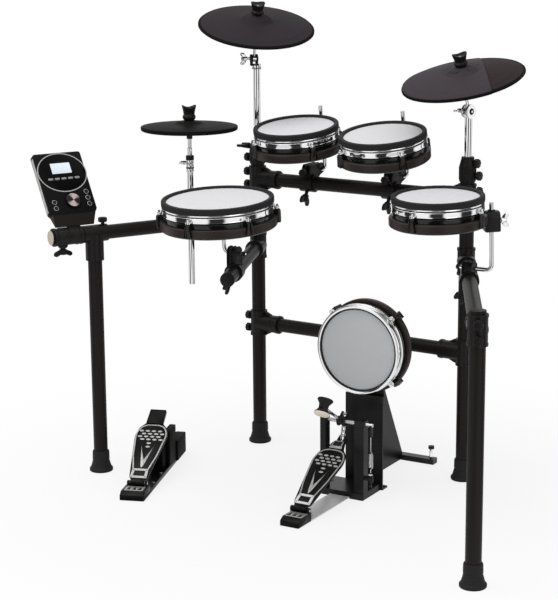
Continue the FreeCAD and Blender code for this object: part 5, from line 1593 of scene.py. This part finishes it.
SPRING_NUT_RADIUS = 5.4
SPIKES = ((-48, 288), (88, 288))
BEATER_LEAN = -32.0
CAM_RISE = 38.0
LEVER_RISE = -98.0
ARM_LENGTH = 24.0
CAM_CHEEK = 8.0
LEVER_ACROSS = 86.0
BEATER_REACH = 117.0
BEATER_DARK = [(0, 23), (18, 23), (21, 20), (20.5, 17.5), (13.5, 8), (12.5, 2), (12.5, -4), (17, -11),
               (20.5, -13), (20.5, -15), (0, -15)]
BEATER_FELT = [(0, -14.5), (20.6, -14.5), (21, -16.5), (19.8, -20), (15, -23), (0, -23)]
CHAIN_LINKS = 6
CHAIN_END = 4.5
LINK_HALF = 3.6
LINK_OVERRUN = 2.4
LINK_SIDE = 4.6
COIL_LOW, COIL_HIGH = 91.0, 127.0
COIL_RADIUS = 5.4
COIL_TAIL = 6.0
COIL_STEPS = 18
SOLE = (66, 430)
CONTROLLER_BOXES = ((44, 100, 80, 3.0, 0, 286), (18, 70, 110, 2.5, 24, 305), (28, 92, 62, 2.5, 24, 384))
BOX_LOW = 4.0
SOLE_TOP = 12.0
SOLE_SCREWS = [(-26, 120), (-26, 200), (26, 120), (26, 200)]


def pedal_place():
    """Place of the kick pedal on the floor under the tower's front; Y runs toward the tower."""
    shaft = joint_spot("beater_swing")
    return place_at(shaft, Z, -joint_axis("beater_swing")) @ at(0, SHAFT_SETBACK, -shaft[2])


def grip_bump():
    """Lens-shaped grip, longer across the board."""
    bump = turned_solid(GRIP_OUTLINE, 0.6, 16)
    return Shape(bump.points * GRIP_SHARES, bump.faces)


def board_grips(piece, place):
    """Four staggered rows of grips and a pair behind them."""
    sizes = bpy.context.scene.kit_pedals
    step = mm(sizes.grip_step)
    row = mm(sizes.grip_row)
    for start in (0, 1):
        corner = place @ at(step * (0.25 - 0.5 * start), GRIPS_ALONG + row * start, BOARD_FACE)
        piece.repeat("grid", grip_bump(), "trim_grey", corner, Columns=4, Rows=2, Column_step=step,
                     Row_step=row * 2)
    corner = place @ at(0, GRIP_PAIR_ALONG, BOARD_FACE)
    piece.repeat("grid", grip_bump(), "trim_grey", corner, Columns=1, Rows=2, Row_step=GRIP_PAIR_STEP)


def toe_clip(piece, place):
    """Bright neck, dark plate and the two cheeks that take the chain."""
    for across in (-CLIP_REACH, CLIP_REACH):
        piece.add(box(3, 26, -9, 9, 0.8), "steel_black", place @ at(across, CLIP_ALONG))
    neck = rounded(mirrored(NECK_HALF), 4)
    piece.add(prism(neck, BOARD_FACE - 0.4, BOARD_FACE + 1.2, 0.5), "trim_grey", place)
    plate = box(22, 15, BOARD_FACE, BOARD_FACE + 2.8, 0.8)
    piece.add(plate, "steel_black", place @ at(0, CLIP_PLATE_ALONG))


def toe_block(piece, place, end):
    """Raised block at the controller's toe."""
    block = rounded(mirrored([TOE_BLOCK_START, (TOE_BLOCK_END, end)]), 3)
    piece.add(prism(block, 1.6, BOARD_FACE + 4.2, 1.4), "board_black", place)
    piece.add(strip(inset(block, 4.5), 0.9, BOARD_FACE + 3.8, BOARD_FACE + 4.7), "board_black", place)


def footboard(name, place, toe, heel_finish):
    """Board with raised trim, grips, an inlay and its heel plate; the toe is its half width and end."""
    piece = Piece(name)
    outline = rounded(mirrored(BOARD_HALF + [toe]), 9, steps=4)
    piece.add(prism(outline, BOARD_LOW, BOARD_FACE, 1.2), "board_black", place)
    field = rounded(mirrored(TRIM_HALF), 7, steps=4)
    piece.add(strip(field, TRIM_WIDTH, BOARD_FACE - 0.6, BOARD_FACE + 0.9), "trim_grey", place)
    board_grips(piece, place)
    inlay = prism(rounded(INLAY_OUTLINE, 1.0), BOARD_FACE - 0.4, BOARD_FACE + 0.7, 0.3)
    piece.add(inlay, "trim_grey", place)
    heel = rounded(mirrored(HEEL_TRIM_HALF), 3)
    piece.add(strip(heel, HEEL_TRIM_WIDTH, BOARD_FACE - 0.8, BOARD_FACE + 1.0), heel_finish, place)
    piece.add(box(38, 24, 2, 8, 1.0), "board_black", place @ at(0, 8))
    piece.add(rod(6, -19, 19), "board_black", crosswise(place))
    return piece


def heel_plate(piece, place):
    """Bright plate with three dark wedges and a dark bar; the place is its middle on the heel's top."""
    piece.add(prism(rectangle(50, 46, 3), -0.4, 0.9, 0.4), "trim_grey", place)
    wedge = prism(rounded([(-6, 0), (6, 0), (0, 22)], 1.0), 0.6, 1.4, 0.2)
    piece.repeat("grid", wedge, "board_black", place @ at(0, -18), Columns=3, Rows=1, Column_step=15.0)
    piece.add(prism(rectangle(40, 8, 1.5), 0.6, 1.4, 0.2), "board_black", place @ at(0, 14))


def pedal_heel(piece, place, half_width):
    """Heel block with its plate, hinge cheeks and pin; the place is its back on the floor."""
    piece.add(side_solid(rounded(HEEL_OUTLINE, 2.5), half_width, 2.0), "board_black", place)
    heel_plate(piece, place @ at(0, HEEL_PLATE_ALONG, HEEL_TOP))
    pin = crosswise(place @ at(0, HEEL_PIN_ALONG, HEEL_PIN_HEIGHT))
    for side in (-CHEEK_REACH, CHEEK_REACH):
        piece.add(box(6, 13, 9, 31, 1.0), "board_black", place @ at(side, HEEL_PIN_ALONG))
        piece.add(rod(7, side - 3, side + 3), "board_black", pin)
    piece.add(rod(3, -27.5, 27.5), "steel_bare", pin)


def pedal_base(place):
    """Bright plate under the kick pedal, with the heel."""
    piece = Piece("pedal_base_plate")
    piece.add(prism(rectangle(58, 274, 4), 2, 5, 0.5), "plate_grey", place @ at(0, PLATE_ALONG))
    pedal_heel(piece, place @ at(0, KICK_HEEL_BACK), KICK_HEEL_HALF)
    piece.build("rack", ["pedal_base"], "steel_bare")


def spring_middle():
    """Place on the floor under the return spring."""
    return at(*middle_of(solids("pedal_spring")[0])[:2])


def pedal_details(place):
    """Bearings, bolts, clamp screw, spring nuts and the tower's spikes."""
    piece = Piece("pedal_details")
    for across in BEARINGS:
        bearing = crosswise(place @ at(across, -SHAFT_SETBACK, BEARING_HEIGHT))
        piece.add(rod(11, -9, 9, 1.5), "steel_black", bearing)
    bolts = [place @ at(across, along, BASE_BOLT_HEIGHT) for across, along in BASE_BOLTS]
    piece.repeat("aimed", screw_head(4.5, 3.0), "steel_bare", places=bolts)
    screw = place_at(spot(place, *CLAMP_SCREW, BASE_BOLT_HEIGHT), -place[:3, 0], Z)
    piece.add(wing_bolt(), "steel_bare", screw)
    for low, high in SPRING_NUTS:
        piece.add(rod(SPRING_NUT_RADIUS, low, high, 0.8, 6), "chrome", spring_middle())
    for across, along in SPIKES:
        spike = place @ at(across, along)
        piece.add(rod(4.8, 14, 42), "chrome", spike)
        piece.add(rod(8.3, 42, 50.2, 1.0), "steel_black", spike)
    piece.build("rack", slot="steel_black")


def cam_and_rod(axle, swing):
    """Shaft with the chain's cam, the beater's rod and the spring's lever."""
    piece = Piece("cam_and_rod")
    shaft = crosswise(axle)
    piece.add(rod(5, -62, 90), "steel_bare", shaft)
    piece.add(rod(10, -6, 6), "steel_black", shaft)
    arm = axle @ turned_by(CAM_RISE - 90, "X")
    arm_pin = crosswise(arm @ at(0, 0, ARM_LENGTH))
    for side in (-CAM_CHEEK, CAM_CHEEK):
        piece.add(rod(13, side - 2, side + 2), "steel_black", shaft)
        piece.add(box(4, 12, 0, ARM_LENGTH, 0.8), "steel_black", arm @ at(side))
        piece.add(rod(6, side - 2, side + 2), "steel_black", arm_pin)
    piece.add(rod(3, -10, 10), "steel_bare", arm_pin)
    shank = swing @ turned_by(90, "X")
    piece.add(rod(4, 0, 104), "chrome", shank)
    piece.add(rod(4.2, 100, 137), "rubber_black", shank)
    piece.add(rod(8, -4, 22, 1.2), "steel_black", shank)
    lever = axle @ turned_by(LEVER_RISE - 90, "X")
    piece.add(box(6, 12, 0, ARM_LENGTH, 1.0), "steel_black", lever @ at(LEVER_ACROSS))
    lever_eye = crosswise(lever @ at(0, 0, ARM_LENGTH))
    piece.add(rod(6, LEVER_ACROSS - 3, LEVER_ACROSS + 3), "steel_black", lever_eye)
    piece.build("beater", ["cam_shaft"], "steel_black")


def beater_head(swing):
    """Beater head with a felt face."""
    head = swing @ at(0, -BEATER_REACH)
    piece = Piece("beater_felt_head")
    piece.add(turned_solid(BEATER_DARK, 1.2, 40), "rubber_black", head)
    piece.add(turned_solid(BEATER_FELT, 1.2, 40), "felt", head)
    piece.build("beater", ["beater_head"], "felt")


def pedal_chain(place):
    """Chain of side plates and rollers from the cam to the toe clip."""
    points = solids("pedal_chain")[0]
    run = principal(points)[2][2]
    pin = joint_spot("chain_turn")
    if np.dot(points.mean(axis=0) - pin, run) < 0:
        run = -run
    pitch = (((points - pin) @ run).max() - CHAIN_END) / CHAIN_LINKS
    plate = [(-LINK_HALF, -LINK_OVERRUN), (LINK_HALF, -LINK_OVERRUN), (LINK_HALF, pitch + LINK_OVERRUN),
             (-LINK_HALF, pitch + LINK_OVERRUN)]
    side = side_solid(rounded(plate, 3.4), 0.7, 0.3)
    roller = moved(rod(3.4, -4, 4, 0.4, 16), crosswise(HERE))
    link = joined(moved(side, at(-LINK_SIDE)), moved(side, at(LINK_SIDE)), roller)
    strand = place_at(pin, run, place[:3, 0]) @ turned_by(90, "X")
    piece = Piece("pedal_chain_links")
    flat = moved(link, turned_by(-90, "X"))
    piece.repeat("grid", flat, "steel_bare", strand, Columns=1, Rows=CHAIN_LINKS, Row_step=pitch)
    piece.build("chain", ["pedal_chain"], "steel_bare")


def return_spring():
    """Spring with two straight tails, stretched between its adjuster and the lever."""
    sizes = bpy.context.scene.kit_pedals
    points = solids("pedal_spring")[0]
    base = spring_middle()
    path = [(0, 0, points[:, 2].min()), (0, 0, COIL_LOW - COIL_TAIL)]
    for share in np.linspace(0, 1, sizes.turns * COIL_STEPS + 1):
        angle = share * sizes.turns * 2 * math.pi
        height = COIL_LOW + (COIL_HIGH - COIL_LOW) * share
        path.append((COIL_RADIUS * math.cos(angle), COIL_RADIUS * math.sin(angle), height))
    path += [(0, 0, COIL_HIGH + COIL_TAIL), (0, 0, points[:, 2].max())]
    wire_path = [spot(base, *point) for point in path]
    piece = Piece("return_spring").add(pipe(wire_path, mm(sizes.wire) / 2, 10), "steel_bare")
    spring = piece.build(None, ["pedal_spring"], "steel_bare")
    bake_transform(spring)


class KIT_OT_kick(bpy.types.Operator):
    """Kick tower and the kick pedal with its beater, chain and spring"""

    bl_idname = "drumkit.kick"
    bl_label = "Kick tower and pedal"

    def execute(self, context):
        paint("steel_black", "kick_tower", "pedal_frame")
        place = pedal_place()
        pedal_base(place)
        pedal_details(place)
        slope = turned_by(math.degrees(context.scene.kit_pedals.slope), "X")
        board = place_at(joint_spot("footboard_press"), Z, place[:3, 0]) @ slope
        piece = footboard("kick_footboard", board, KICK_TOE, "plate_grey")
        toe_clip(piece, board)
        piece.build("pedal_board", ["footboard"], "board_black")
        axle = place_at(joint_spot("beater_swing"), Z, place[:3, 0])
        swing = axle @ turned_by(BEATER_LEAN, "X")
        cam_and_rod(axle, swing)
        beater_head(swing)
        pedal_chain(place)
        return_spring()
        return {"FINISHED"}


class KIT_OT_controller(bpy.types.Operator):
    """Hi-hat foot controller"""

    bl_idname = "drumkit.controller"
    bl_label = "Hi-hat controller"

    def execute(self, context):
        hinge = joint_spot("controller_press")
        level = place_at(hinge, Z, -joint_axis("controller_press"))
        place = level @ at(0, -HEEL_PIN_ALONG, -hinge[2])
        base = Piece("controller_body")
        sole = prism(rectangle(*SOLE, 5), 0.2, SOLE_TOP, 1.5)
        base.add(sole, "board_black", place @ at(0, SOLE[1] / 2))
        pedal_heel(base, place, CONTROLLER_HEEL_HALF)
        for width, length, top, edge, across, along in CONTROLLER_BOXES:
            base.add(box(width, length, BOX_LOW, top, edge), "box_black", place @ at(across, along))
        screws = [place @ at(across, along, SOLE_TOP) for across, along in SOLE_SCREWS]
        base.repeat("aimed", screw_head(3.6, 2.4), "steel_bare", places=screws)
        base.build("rack", ["controller_base"], "board_black")
        board = level @ turned_by(math.degrees(context.scene.kit_pedals.slope), "X")
        top = footboard("controller_board_top", board, CONTROLLER_TOE, "trim_grey")
        toe_block(top, board, CONTROLLER_TOE[1])
        top.build("controller_board", ["controller_footboard"], "board_black")
        return {"FINISHED"}


# Sound module
BUTTONS = ("right_button_1", "right_button_2", "right_button_3", "left_button_1", "left_button_2")
DIAL_ACROSS = 7.0
DIAL_ALONG = 38.0
DIAL_LIFT = 0.4
DIAL_FLUTES = 48
DIAL_FLUTE_RADIUS = 20.5
DIAL_CAP = [(0, 0), (21.6, 0), (21.6, 1.0), (20.8, 1.6), (20.2, 4.8), (19.4, 5.6), (0, 5.6)]
DIAL_FACE = [(0, 5), (19, 5), (19.2, 5.8), (18.2, 6.4), (0, 6.2)]
DIAL_WELL = [(22.5, -0.4), (25, -0.4), (25, 0.7), (22.5, 0.7)]
LAMP_ALONG = 66.0
DISC_ALONG = 123.0
DISC = (134, 110)
DISC_RIM_OUTER = (140, 116)
DISC_RIM_INNER = (135, 111)
SCREEN_ALONG = 136.0
SCREEN_FRAME = (62, 37)
SCREEN_GLASS = (56, 31)
KEYS = 5
KEY_STEP = 19.0
KEYS_ALONG = 105.0
PRINTED_RING = [(5.6, -0.2), (6.7, -0.2), (6.7, 0.3), (5.6, 0.3)]
BUTTON_RADIUS = 5.0
JACK_RING = [(2.4, -0.5), (5.4, -0.5), (5.4, 1.6), (2.4, 1.6)]
JACKS_ALONG = (24, 48, 72)
SLEEVE_OUTLINE = [(19.1, -60), (24.5, -60), (24.5, -53), (23.0, -52), (23.0, -44), (24.5, -43),
                  (24.5, -21), (23.0, -20), (23.0, 4), (24.5, 5), (24.5, 10), (23.2, 11), (23.2, 15),
                  (24.5, 16), (24.5, 22), (19.1, 22)]
BOSS_OUTLINE = [(0, 18), (13.5, 18), (13.5, 26), (9, 31), (0, 31)]
BOSS_ALONG = -32.0
MOUNT_BOLT_DROP = 23.0
MOUNT_BOLT_SHARE = 1.5
BACK_GAP = 0.1
SPINE_END = 105.0


def tapered(side):
    """Solid between a line of (half width, along, height) points and its mirror image."""
    side = np.array(side, float)
    shape = skin([side * np.array((-1, 1, 1)), side], False)
    count = len(side)
    shape.faces.append(tuple(range(count - 1, -1, -1)))
    shape.faces.append(tuple(range(count, 2 * count)))
    return shape


def oval_line(width, length, count=72):
    """Outline of an oval."""
    angles = np.arange(count) * 2 * math.pi / count
    return np.c_[np.cos(angles) * width / 2, np.sin(angles) * length / 2]


def button_place(name, place):
    """Place on the case's face under a button."""
    out = place[:3, 2]
    middle = spun(solids(name)[0], out).centre
    return place_at(middle - out * np.dot(middle - place[:3, 3], out), out)


def case_body(piece, place, width, length, depth):
    """Case with its tapered front lip, bright side strips and jacks."""
    half = width / 2
    front = rounded(mirrored([(half - 7, 0), (half, 10), (half, length)]), 8, steps=5)
    piece.add(prism(front, -depth, 0, 2.2), "case_black", place)
    lip = [(half - 7.5, 0.4, -0.8), (half - 6, 8, -1.2), (half - 6, 8, -depth), (half - 14, -25, -depth),
           (half - 14, -26.5, -depth + 1.5), (half - 13.6, -26, -depth + 4)]
    piece.add(tapered(lip), "case_satin", place)
    side_strip = prism(rectangle(3, length - 22, 1.2), -depth + 5, -4, 0.6)
    for across in (-half, half):
        piece.add(side_strip, "trim_grey", place @ at(across, length / 2))
    jacks = [place @ at(-half, along, -depth / 2) @ turned_by(-90, "Y") for along in JACKS_ALONG]
    piece.repeat("aimed", turned_ring(JACK_RING, 0.4, 20), "steel_bare", places=jacks)


def case_face(piece, place):
    """Gloss disc with its rim, soft keys and screen frame, the dial's well, a lamp and printed rings."""
    disc = place @ at(0, DISC_ALONG)
    piece.add(prism(oval_line(*DISC), -0.5, 0.7, 0.4), "case_gloss", disc)
    piece.add(band(oval_line(*DISC_RIM_OUTER), oval_line(*DISC_RIM_INNER), 0, 1.6), "trim_grey", disc)
    key = prism(rectangle(14, 6, 2), 0.2, 2.6, 0.8)
    keys = place @ at(0, KEYS_ALONG)
    piece.repeat("grid", key, "key_grey", keys, Columns=KEYS, Rows=1, Column_step=KEY_STEP)
    frame_plate = prism(rectangle(*SCREEN_FRAME, 2.5), -0.4, 1.0, 0.4)
    piece.add(frame_plate, "case_black", place @ at(0, SCREEN_ALONG))
    piece.add(rod(2.0, 0, 1.0, 0.3, 16), "print_white", place @ at(DIAL_ACROSS, LAMP_ALONG))
    piece.add(turned_ring(DIAL_WELL, 0.3), "case_gloss", place @ at(DIAL_ACROSS, DIAL_ALONG))
    rings = [button_place(name, place) for name in BUTTONS]
    piece.repeat("aimed", turned_ring(PRINTED_RING, 0.1, 32), "print_white", places=rings)


def module_dial(place):
    """Fluted dial with a turned metal face."""
    piece = Piece("module_turner")
    piece.add(turned_solid(DIAL_CAP, 0.6, 72), "case_black", place)
    # The face's finish carries light and dark wedges of painted reflection.
    piece.add(turned_solid(DIAL_FACE, 0.3, 72), "dial_metal", place)
    flute = box(1.1, 1.2, 1.0, 4.6, 0.3)
    piece.repeat("ring", flute, "case_black", place, Count=DIAL_FLUTES, Radius=DIAL_FLUTE_RADIUS)
    piece.build("dial", ["module_dial"], "dial_metal")


def module_button(name, place):
    """Round button."""
    cap = spun(solids(name)[0], place[:3, 2])
    piece = Piece(name + "_cap")
    shape = rod(BUTTON_RADIUS, cap.low, cap.high, 0.7, 32)
    piece.add(shape, "clamp_black", place_at(cap.centre, place[:3, 2], place[:3, 0]))
    piece.build(name, [name], "clamp_black")


def module_mount(place, depth):
    """Sleeve on the left bar with its boss and wing bolt, and the spine to the case's back."""
    piece = Piece("module_clamp")
    bar = joint_spot("module_tilt")
    along = place_at(bar, -joint_axis("module_tilt"), Z)
    piece.add(turned_ring(SLEEVE_OUTLINE, 1.0), "clamp_black", along)
    boss = place_at(spot(along, z=BOSS_ALONG), -Z, along[:3, 2])
    piece.add(turned_solid(BOSS_OUTLINE, 1.5, 32), "clamp_black", boss)
    piece.add(wing_bolt(MOUNT_BOLT_SHARE), "clamp_black", boss @ at(0, 0, MOUNT_BOLT_DROP))
    back = -depth - BACK_GAP
    piece.add(box(60, 70, back - 5, back, 1.2), "clamp_black", place @ at(0, 70))
    start = (np.linalg.inv(place) @ np.append(bar, 1.0))[1]
    spine = box(34, SPINE_END - start, back - 16, back, 2.0)
    piece.add(spine, "clamp_black", place @ at(0, (SPINE_END + start) / 2))
    piece.build("module", ["module_mount"], "clamp_black")


class KIT_OT_module(bpy.types.Operator):
    """Sound module with its screen, keys, dial, buttons and mount"""

    bl_idname = "drumkit.module"
    bl_label = "Sound module"

    def execute(self, context):
        sizes = context.scene.kit_module
        dial = place_at(joint_spot("dial_turn"), joint_axis("dial_turn"), -joint_axis("module_tilt"))
        place = dial @ at(-DIAL_ACROSS, -DIAL_ALONG, -DIAL_LIFT)
        depth = mm(sizes.depth)
        case = Piece("module_body")
        case_body(case, place, mm(sizes.width), mm(sizes.length), depth)
        case_face(case, place)
        case.build("module", ["module_case"], "case_black")
        glass = Piece("module_glass")
        glass.add(prism(rectangle(*SCREEN_GLASS, 1.5), -1, 1.2, 0.3), "screen", place @ at(0, SCREEN_ALONG))
        glass.build("module", ["module_screen"], "screen")
        module_dial(dial)
        for name in BUTTONS:
            module_button(name, place)
        module_mount(place, depth)
        return {"FINISHED"}


# Stage
STRIP_COUNT = 5.0
STRIP_START = 3.74
STRIP_LOW = 0.03
FLOOR_REACH = 40.0
WHITE = (1, 1, 1, 1)
KEY_PLACE = (-0.9, -1.0, 3.8)
KEY_WIDTH = 2.4
FILL_PLACE = (3.2, -1.6, 2.4)
FILL_WIDTH = 1.6
LAMP_TARGET = (0, 0, 0.6)
CAMERA_PLACE = (2.3345, -3.6890, 1.489)
CAMERA_AZIMUTH = 33.24
CAMERA_PITCH = 12.61
CAMERA_ROLL = -0.41
FOCAL_PIXELS = 1727.0
PHOTO_HEIGHT_PIXELS = 600
SENSOR_WIDTH = 36.0


def light_strips(tree, vector):
    turn = turn_of(tree, vector)
    strips = value_of(tree, "SINE", value_of(tree, "MULTIPLY_ADD", turn, STRIP_COUNT, STRIP_START))
    return ramp(tree, strips, -0.45, 0.1, STRIP_LOW, 1.0)


def ray_kinds(tree):
    """Whether a ray is seen straight or through glass, and whether it is a reflection only."""
    rays = wire(tree, "ShaderNodeLightPath").outputs
    seen = value_of(tree, "MAXIMUM", rays["Is Camera Ray"], rays["Is Transmission Ray"])
    reflected = value_of(tree, "MULTIPLY", rays["Is Glossy Ray"], value_of(tree, "SUBTRACT", 1.0, seen))
    return seen, reflected


def studio_world(sky):
    """White to the camera; a bright ceiling and upright strips of light over dark walls in reflections."""
    world = bpy.data.worlds.new("Studio")
    bpy.context.scene.world = world
    world.use_nodes = True
    tree = world.node_tree
    tree.nodes.clear()
    seen, reflected = ray_kinds(tree)
    away = wire(tree, "ShaderNodeTexCoord").outputs["Generated"]
    height = parts_of(tree, away)[2]
    ceiling = ramp(tree, height, 0.35, 0.8, 0.05, 0.8)
    mirror_light = value_of(tree, "MAXIMUM", ceiling, light_strips(tree, away))
    overhead = ramp(tree, height, -0.1, 0.9, 0.18, 1.0)
    rest = value_of(tree, "SUBTRACT", value_of(tree, "SUBTRACT", 1.0, seen), reflected)
    even = value_of(tree, "MULTIPLY", value_of(tree, "MULTIPLY", rest, sky), overhead)
    shown = value_of(tree, "ADD", seen, value_of(tree, "MULTIPLY", reflected, mirror_light))
    strength = value_of(tree, "ADD", shown, even)
    light = wire(tree, "ShaderNodeBackground", [(0, WHITE), (1, strength)])
    wire(tree, "ShaderNodeOutputWorld", [(0, light.outputs[0])])


def floor_material(colour):
    material = bpy.data.materials.new("floor")
    material.use_nodes = True
    tree = material.node_tree
    surface = tree.nodes["Principled BSDF"]
    surface.inputs["Base Color"].default_value = (*colour, 1.0)
    surface.inputs["Roughness"].default_value = 0.9
    surface.inputs["Specular IOR Level"].default_value = 0.1
    place = wire(tree, "ShaderNodeTexCoord").outputs["Object"]
    away = length_of(tree, place)
    seen, reflected = ray_kinds(tree)
    fade_share = value_of(tree, "MULTIPLY", ramp(tree, away, 0.5, 1.3, 0.8, 1.0), seen)
    white = wire(tree, "ShaderNodeEmission", [(0, WHITE), (1, 1.0)]).outputs[0]
    links = [(0, fade_share), (1, surface.outputs[0]), (2, white)]
    lifted = wire(tree, "ShaderNodeMixShader", links).outputs[0]
    near = ramp(tree, away, 1.0, 1.4, 0.7, 0.0)
    glow = value_of(tree, "MAXIMUM", light_strips(tree, place), near)
    dim = wire(tree, "ShaderNodeEmission", [(0, WHITE), (1, glow)]).outputs[0]
    shown = wire(tree, "ShaderNodeMixShader", [(0, reflected), (1, lifted), (2, dim)])
    tree.links.new(shown.outputs[0], tree.nodes["Material Output"].inputs["Surface"])
    return material


def studio_floor(colour):
    corners = rectangle(2 * FLOOR_REACH, 2 * FLOOR_REACH)
    mesh = bpy.data.meshes.new("floor")
    mesh.from_pydata(np.c_[corners, np.zeros(4)], [], [(0, 1, 2, 3)])
    mesh.materials.append(floor_material(colour))
    floor = put_in("floor", mesh)


def lamp(name, power, width, place):
    light = bpy.data.lights.new(name, "AREA")
    light.energy = power
    light.size = width
    item = put_in(name, light)
    item.location = place
    item.rotation_euler = (Vector(LAMP_TARGET) - Vector(place)).to_track_quat("-Z", "Y").to_euler()


def camera():
    """Camera that was fitted to the photograph."""
    turn, dip, tilt = (math.radians(value) for value in (CAMERA_AZIMUTH, CAMERA_PITCH, CAMERA_ROLL))
    level = Vector((math.cos(turn), math.sin(turn), 0))
    ahead = Vector((-math.sin(turn) * math.cos(dip), math.cos(turn) * math.cos(dip), -math.sin(dip)))
    over = level.cross(ahead)
    right = level * math.cos(tilt) + over * math.sin(tilt)
    up = over * math.cos(tilt) - level * math.sin(tilt)
    lens = bpy.data.cameras.new("camera")
    lens.sensor_width = SENSOR_WIDTH
    lens.lens = FOCAL_PIXELS / PHOTO_HEIGHT_PIXELS * SENSOR_WIDTH
    item = put_in("camera", lens)
    rows = zip(right, up, -ahead, CAMERA_PLACE)
    item.matrix_world = Matrix((*rows, (0, 0, 0, 1)))
    bpy.context.scene.camera = item


class KIT_OT_stage(bpy.types.Operator):
    """Floor, soft light and camera"""

    bl_idname = "drumkit.stage"
    bl_label = "Stage"

    def execute(self, context):
        light = context.scene.kit_stage
        context.scene.view_settings.view_transform = "Standard"
        studio_world(light.sky)
        studio_floor(light.floor)
        lamp("key", light.key, KEY_WIDTH, KEY_PLACE)
        lamp("fill", light.fill, FILL_WIDTH, FILL_PLACE)
        camera()
        return {"FINISHED"}


class KIT_PT_panel(bpy.types.Panel):
    bl_idname = "KIT_PT_panel"
    bl_label = "Drum kit"
    bl_space_type = "VIEW_3D"
    bl_region_type = "UI"
    bl_category = "Drum kit"

    def draw(self, context):
        for operator in OPERATORS:
            self.layout.operator(operator.bl_idname)


SETTINGS = {"kit_colours": KitColours, "kit_pads": PadSizes, "kit_cymbals": CymbalSizes,
            "kit_pedals": PedalSizes, "kit_module": ModuleSizes, "kit_stage": StageLight}
OPERATORS = (KIT_OT_rack, KIT_OT_pads, KIT_OT_cymbals, KIT_OT_kick, KIT_OT_controller, KIT_OT_module,
             KIT_OT_stage)


def register():
    for item in (*SETTINGS.values(), *OPERATORS, KIT_PT_panel):
        bpy.utils.register_class(item)
    for name, group in SETTINGS.items():
        setattr(bpy.types.Scene, name, bpy.props.PointerProperty(type=group))


def unregister():
    for name in SETTINGS:
        delattr(bpy.types.Scene, name)
    for item in reversed((*SETTINGS.values(), *OPERATORS, KIT_PT_panel)):
        bpy.utils.unregister_class(item)


def main():
    """Builds the dressed kit."""
    register()
    bpy.ops.drumkit.rack()
    bpy.ops.drumkit.pads()
    bpy.ops.drumkit.cymbals()
    bpy.ops.drumkit.kick()
    bpy.ops.drumkit.controller()
    bpy.ops.drumkit.module()
    bpy.ops.drumkit.stage()


if __name__ == "__main__":
    main()
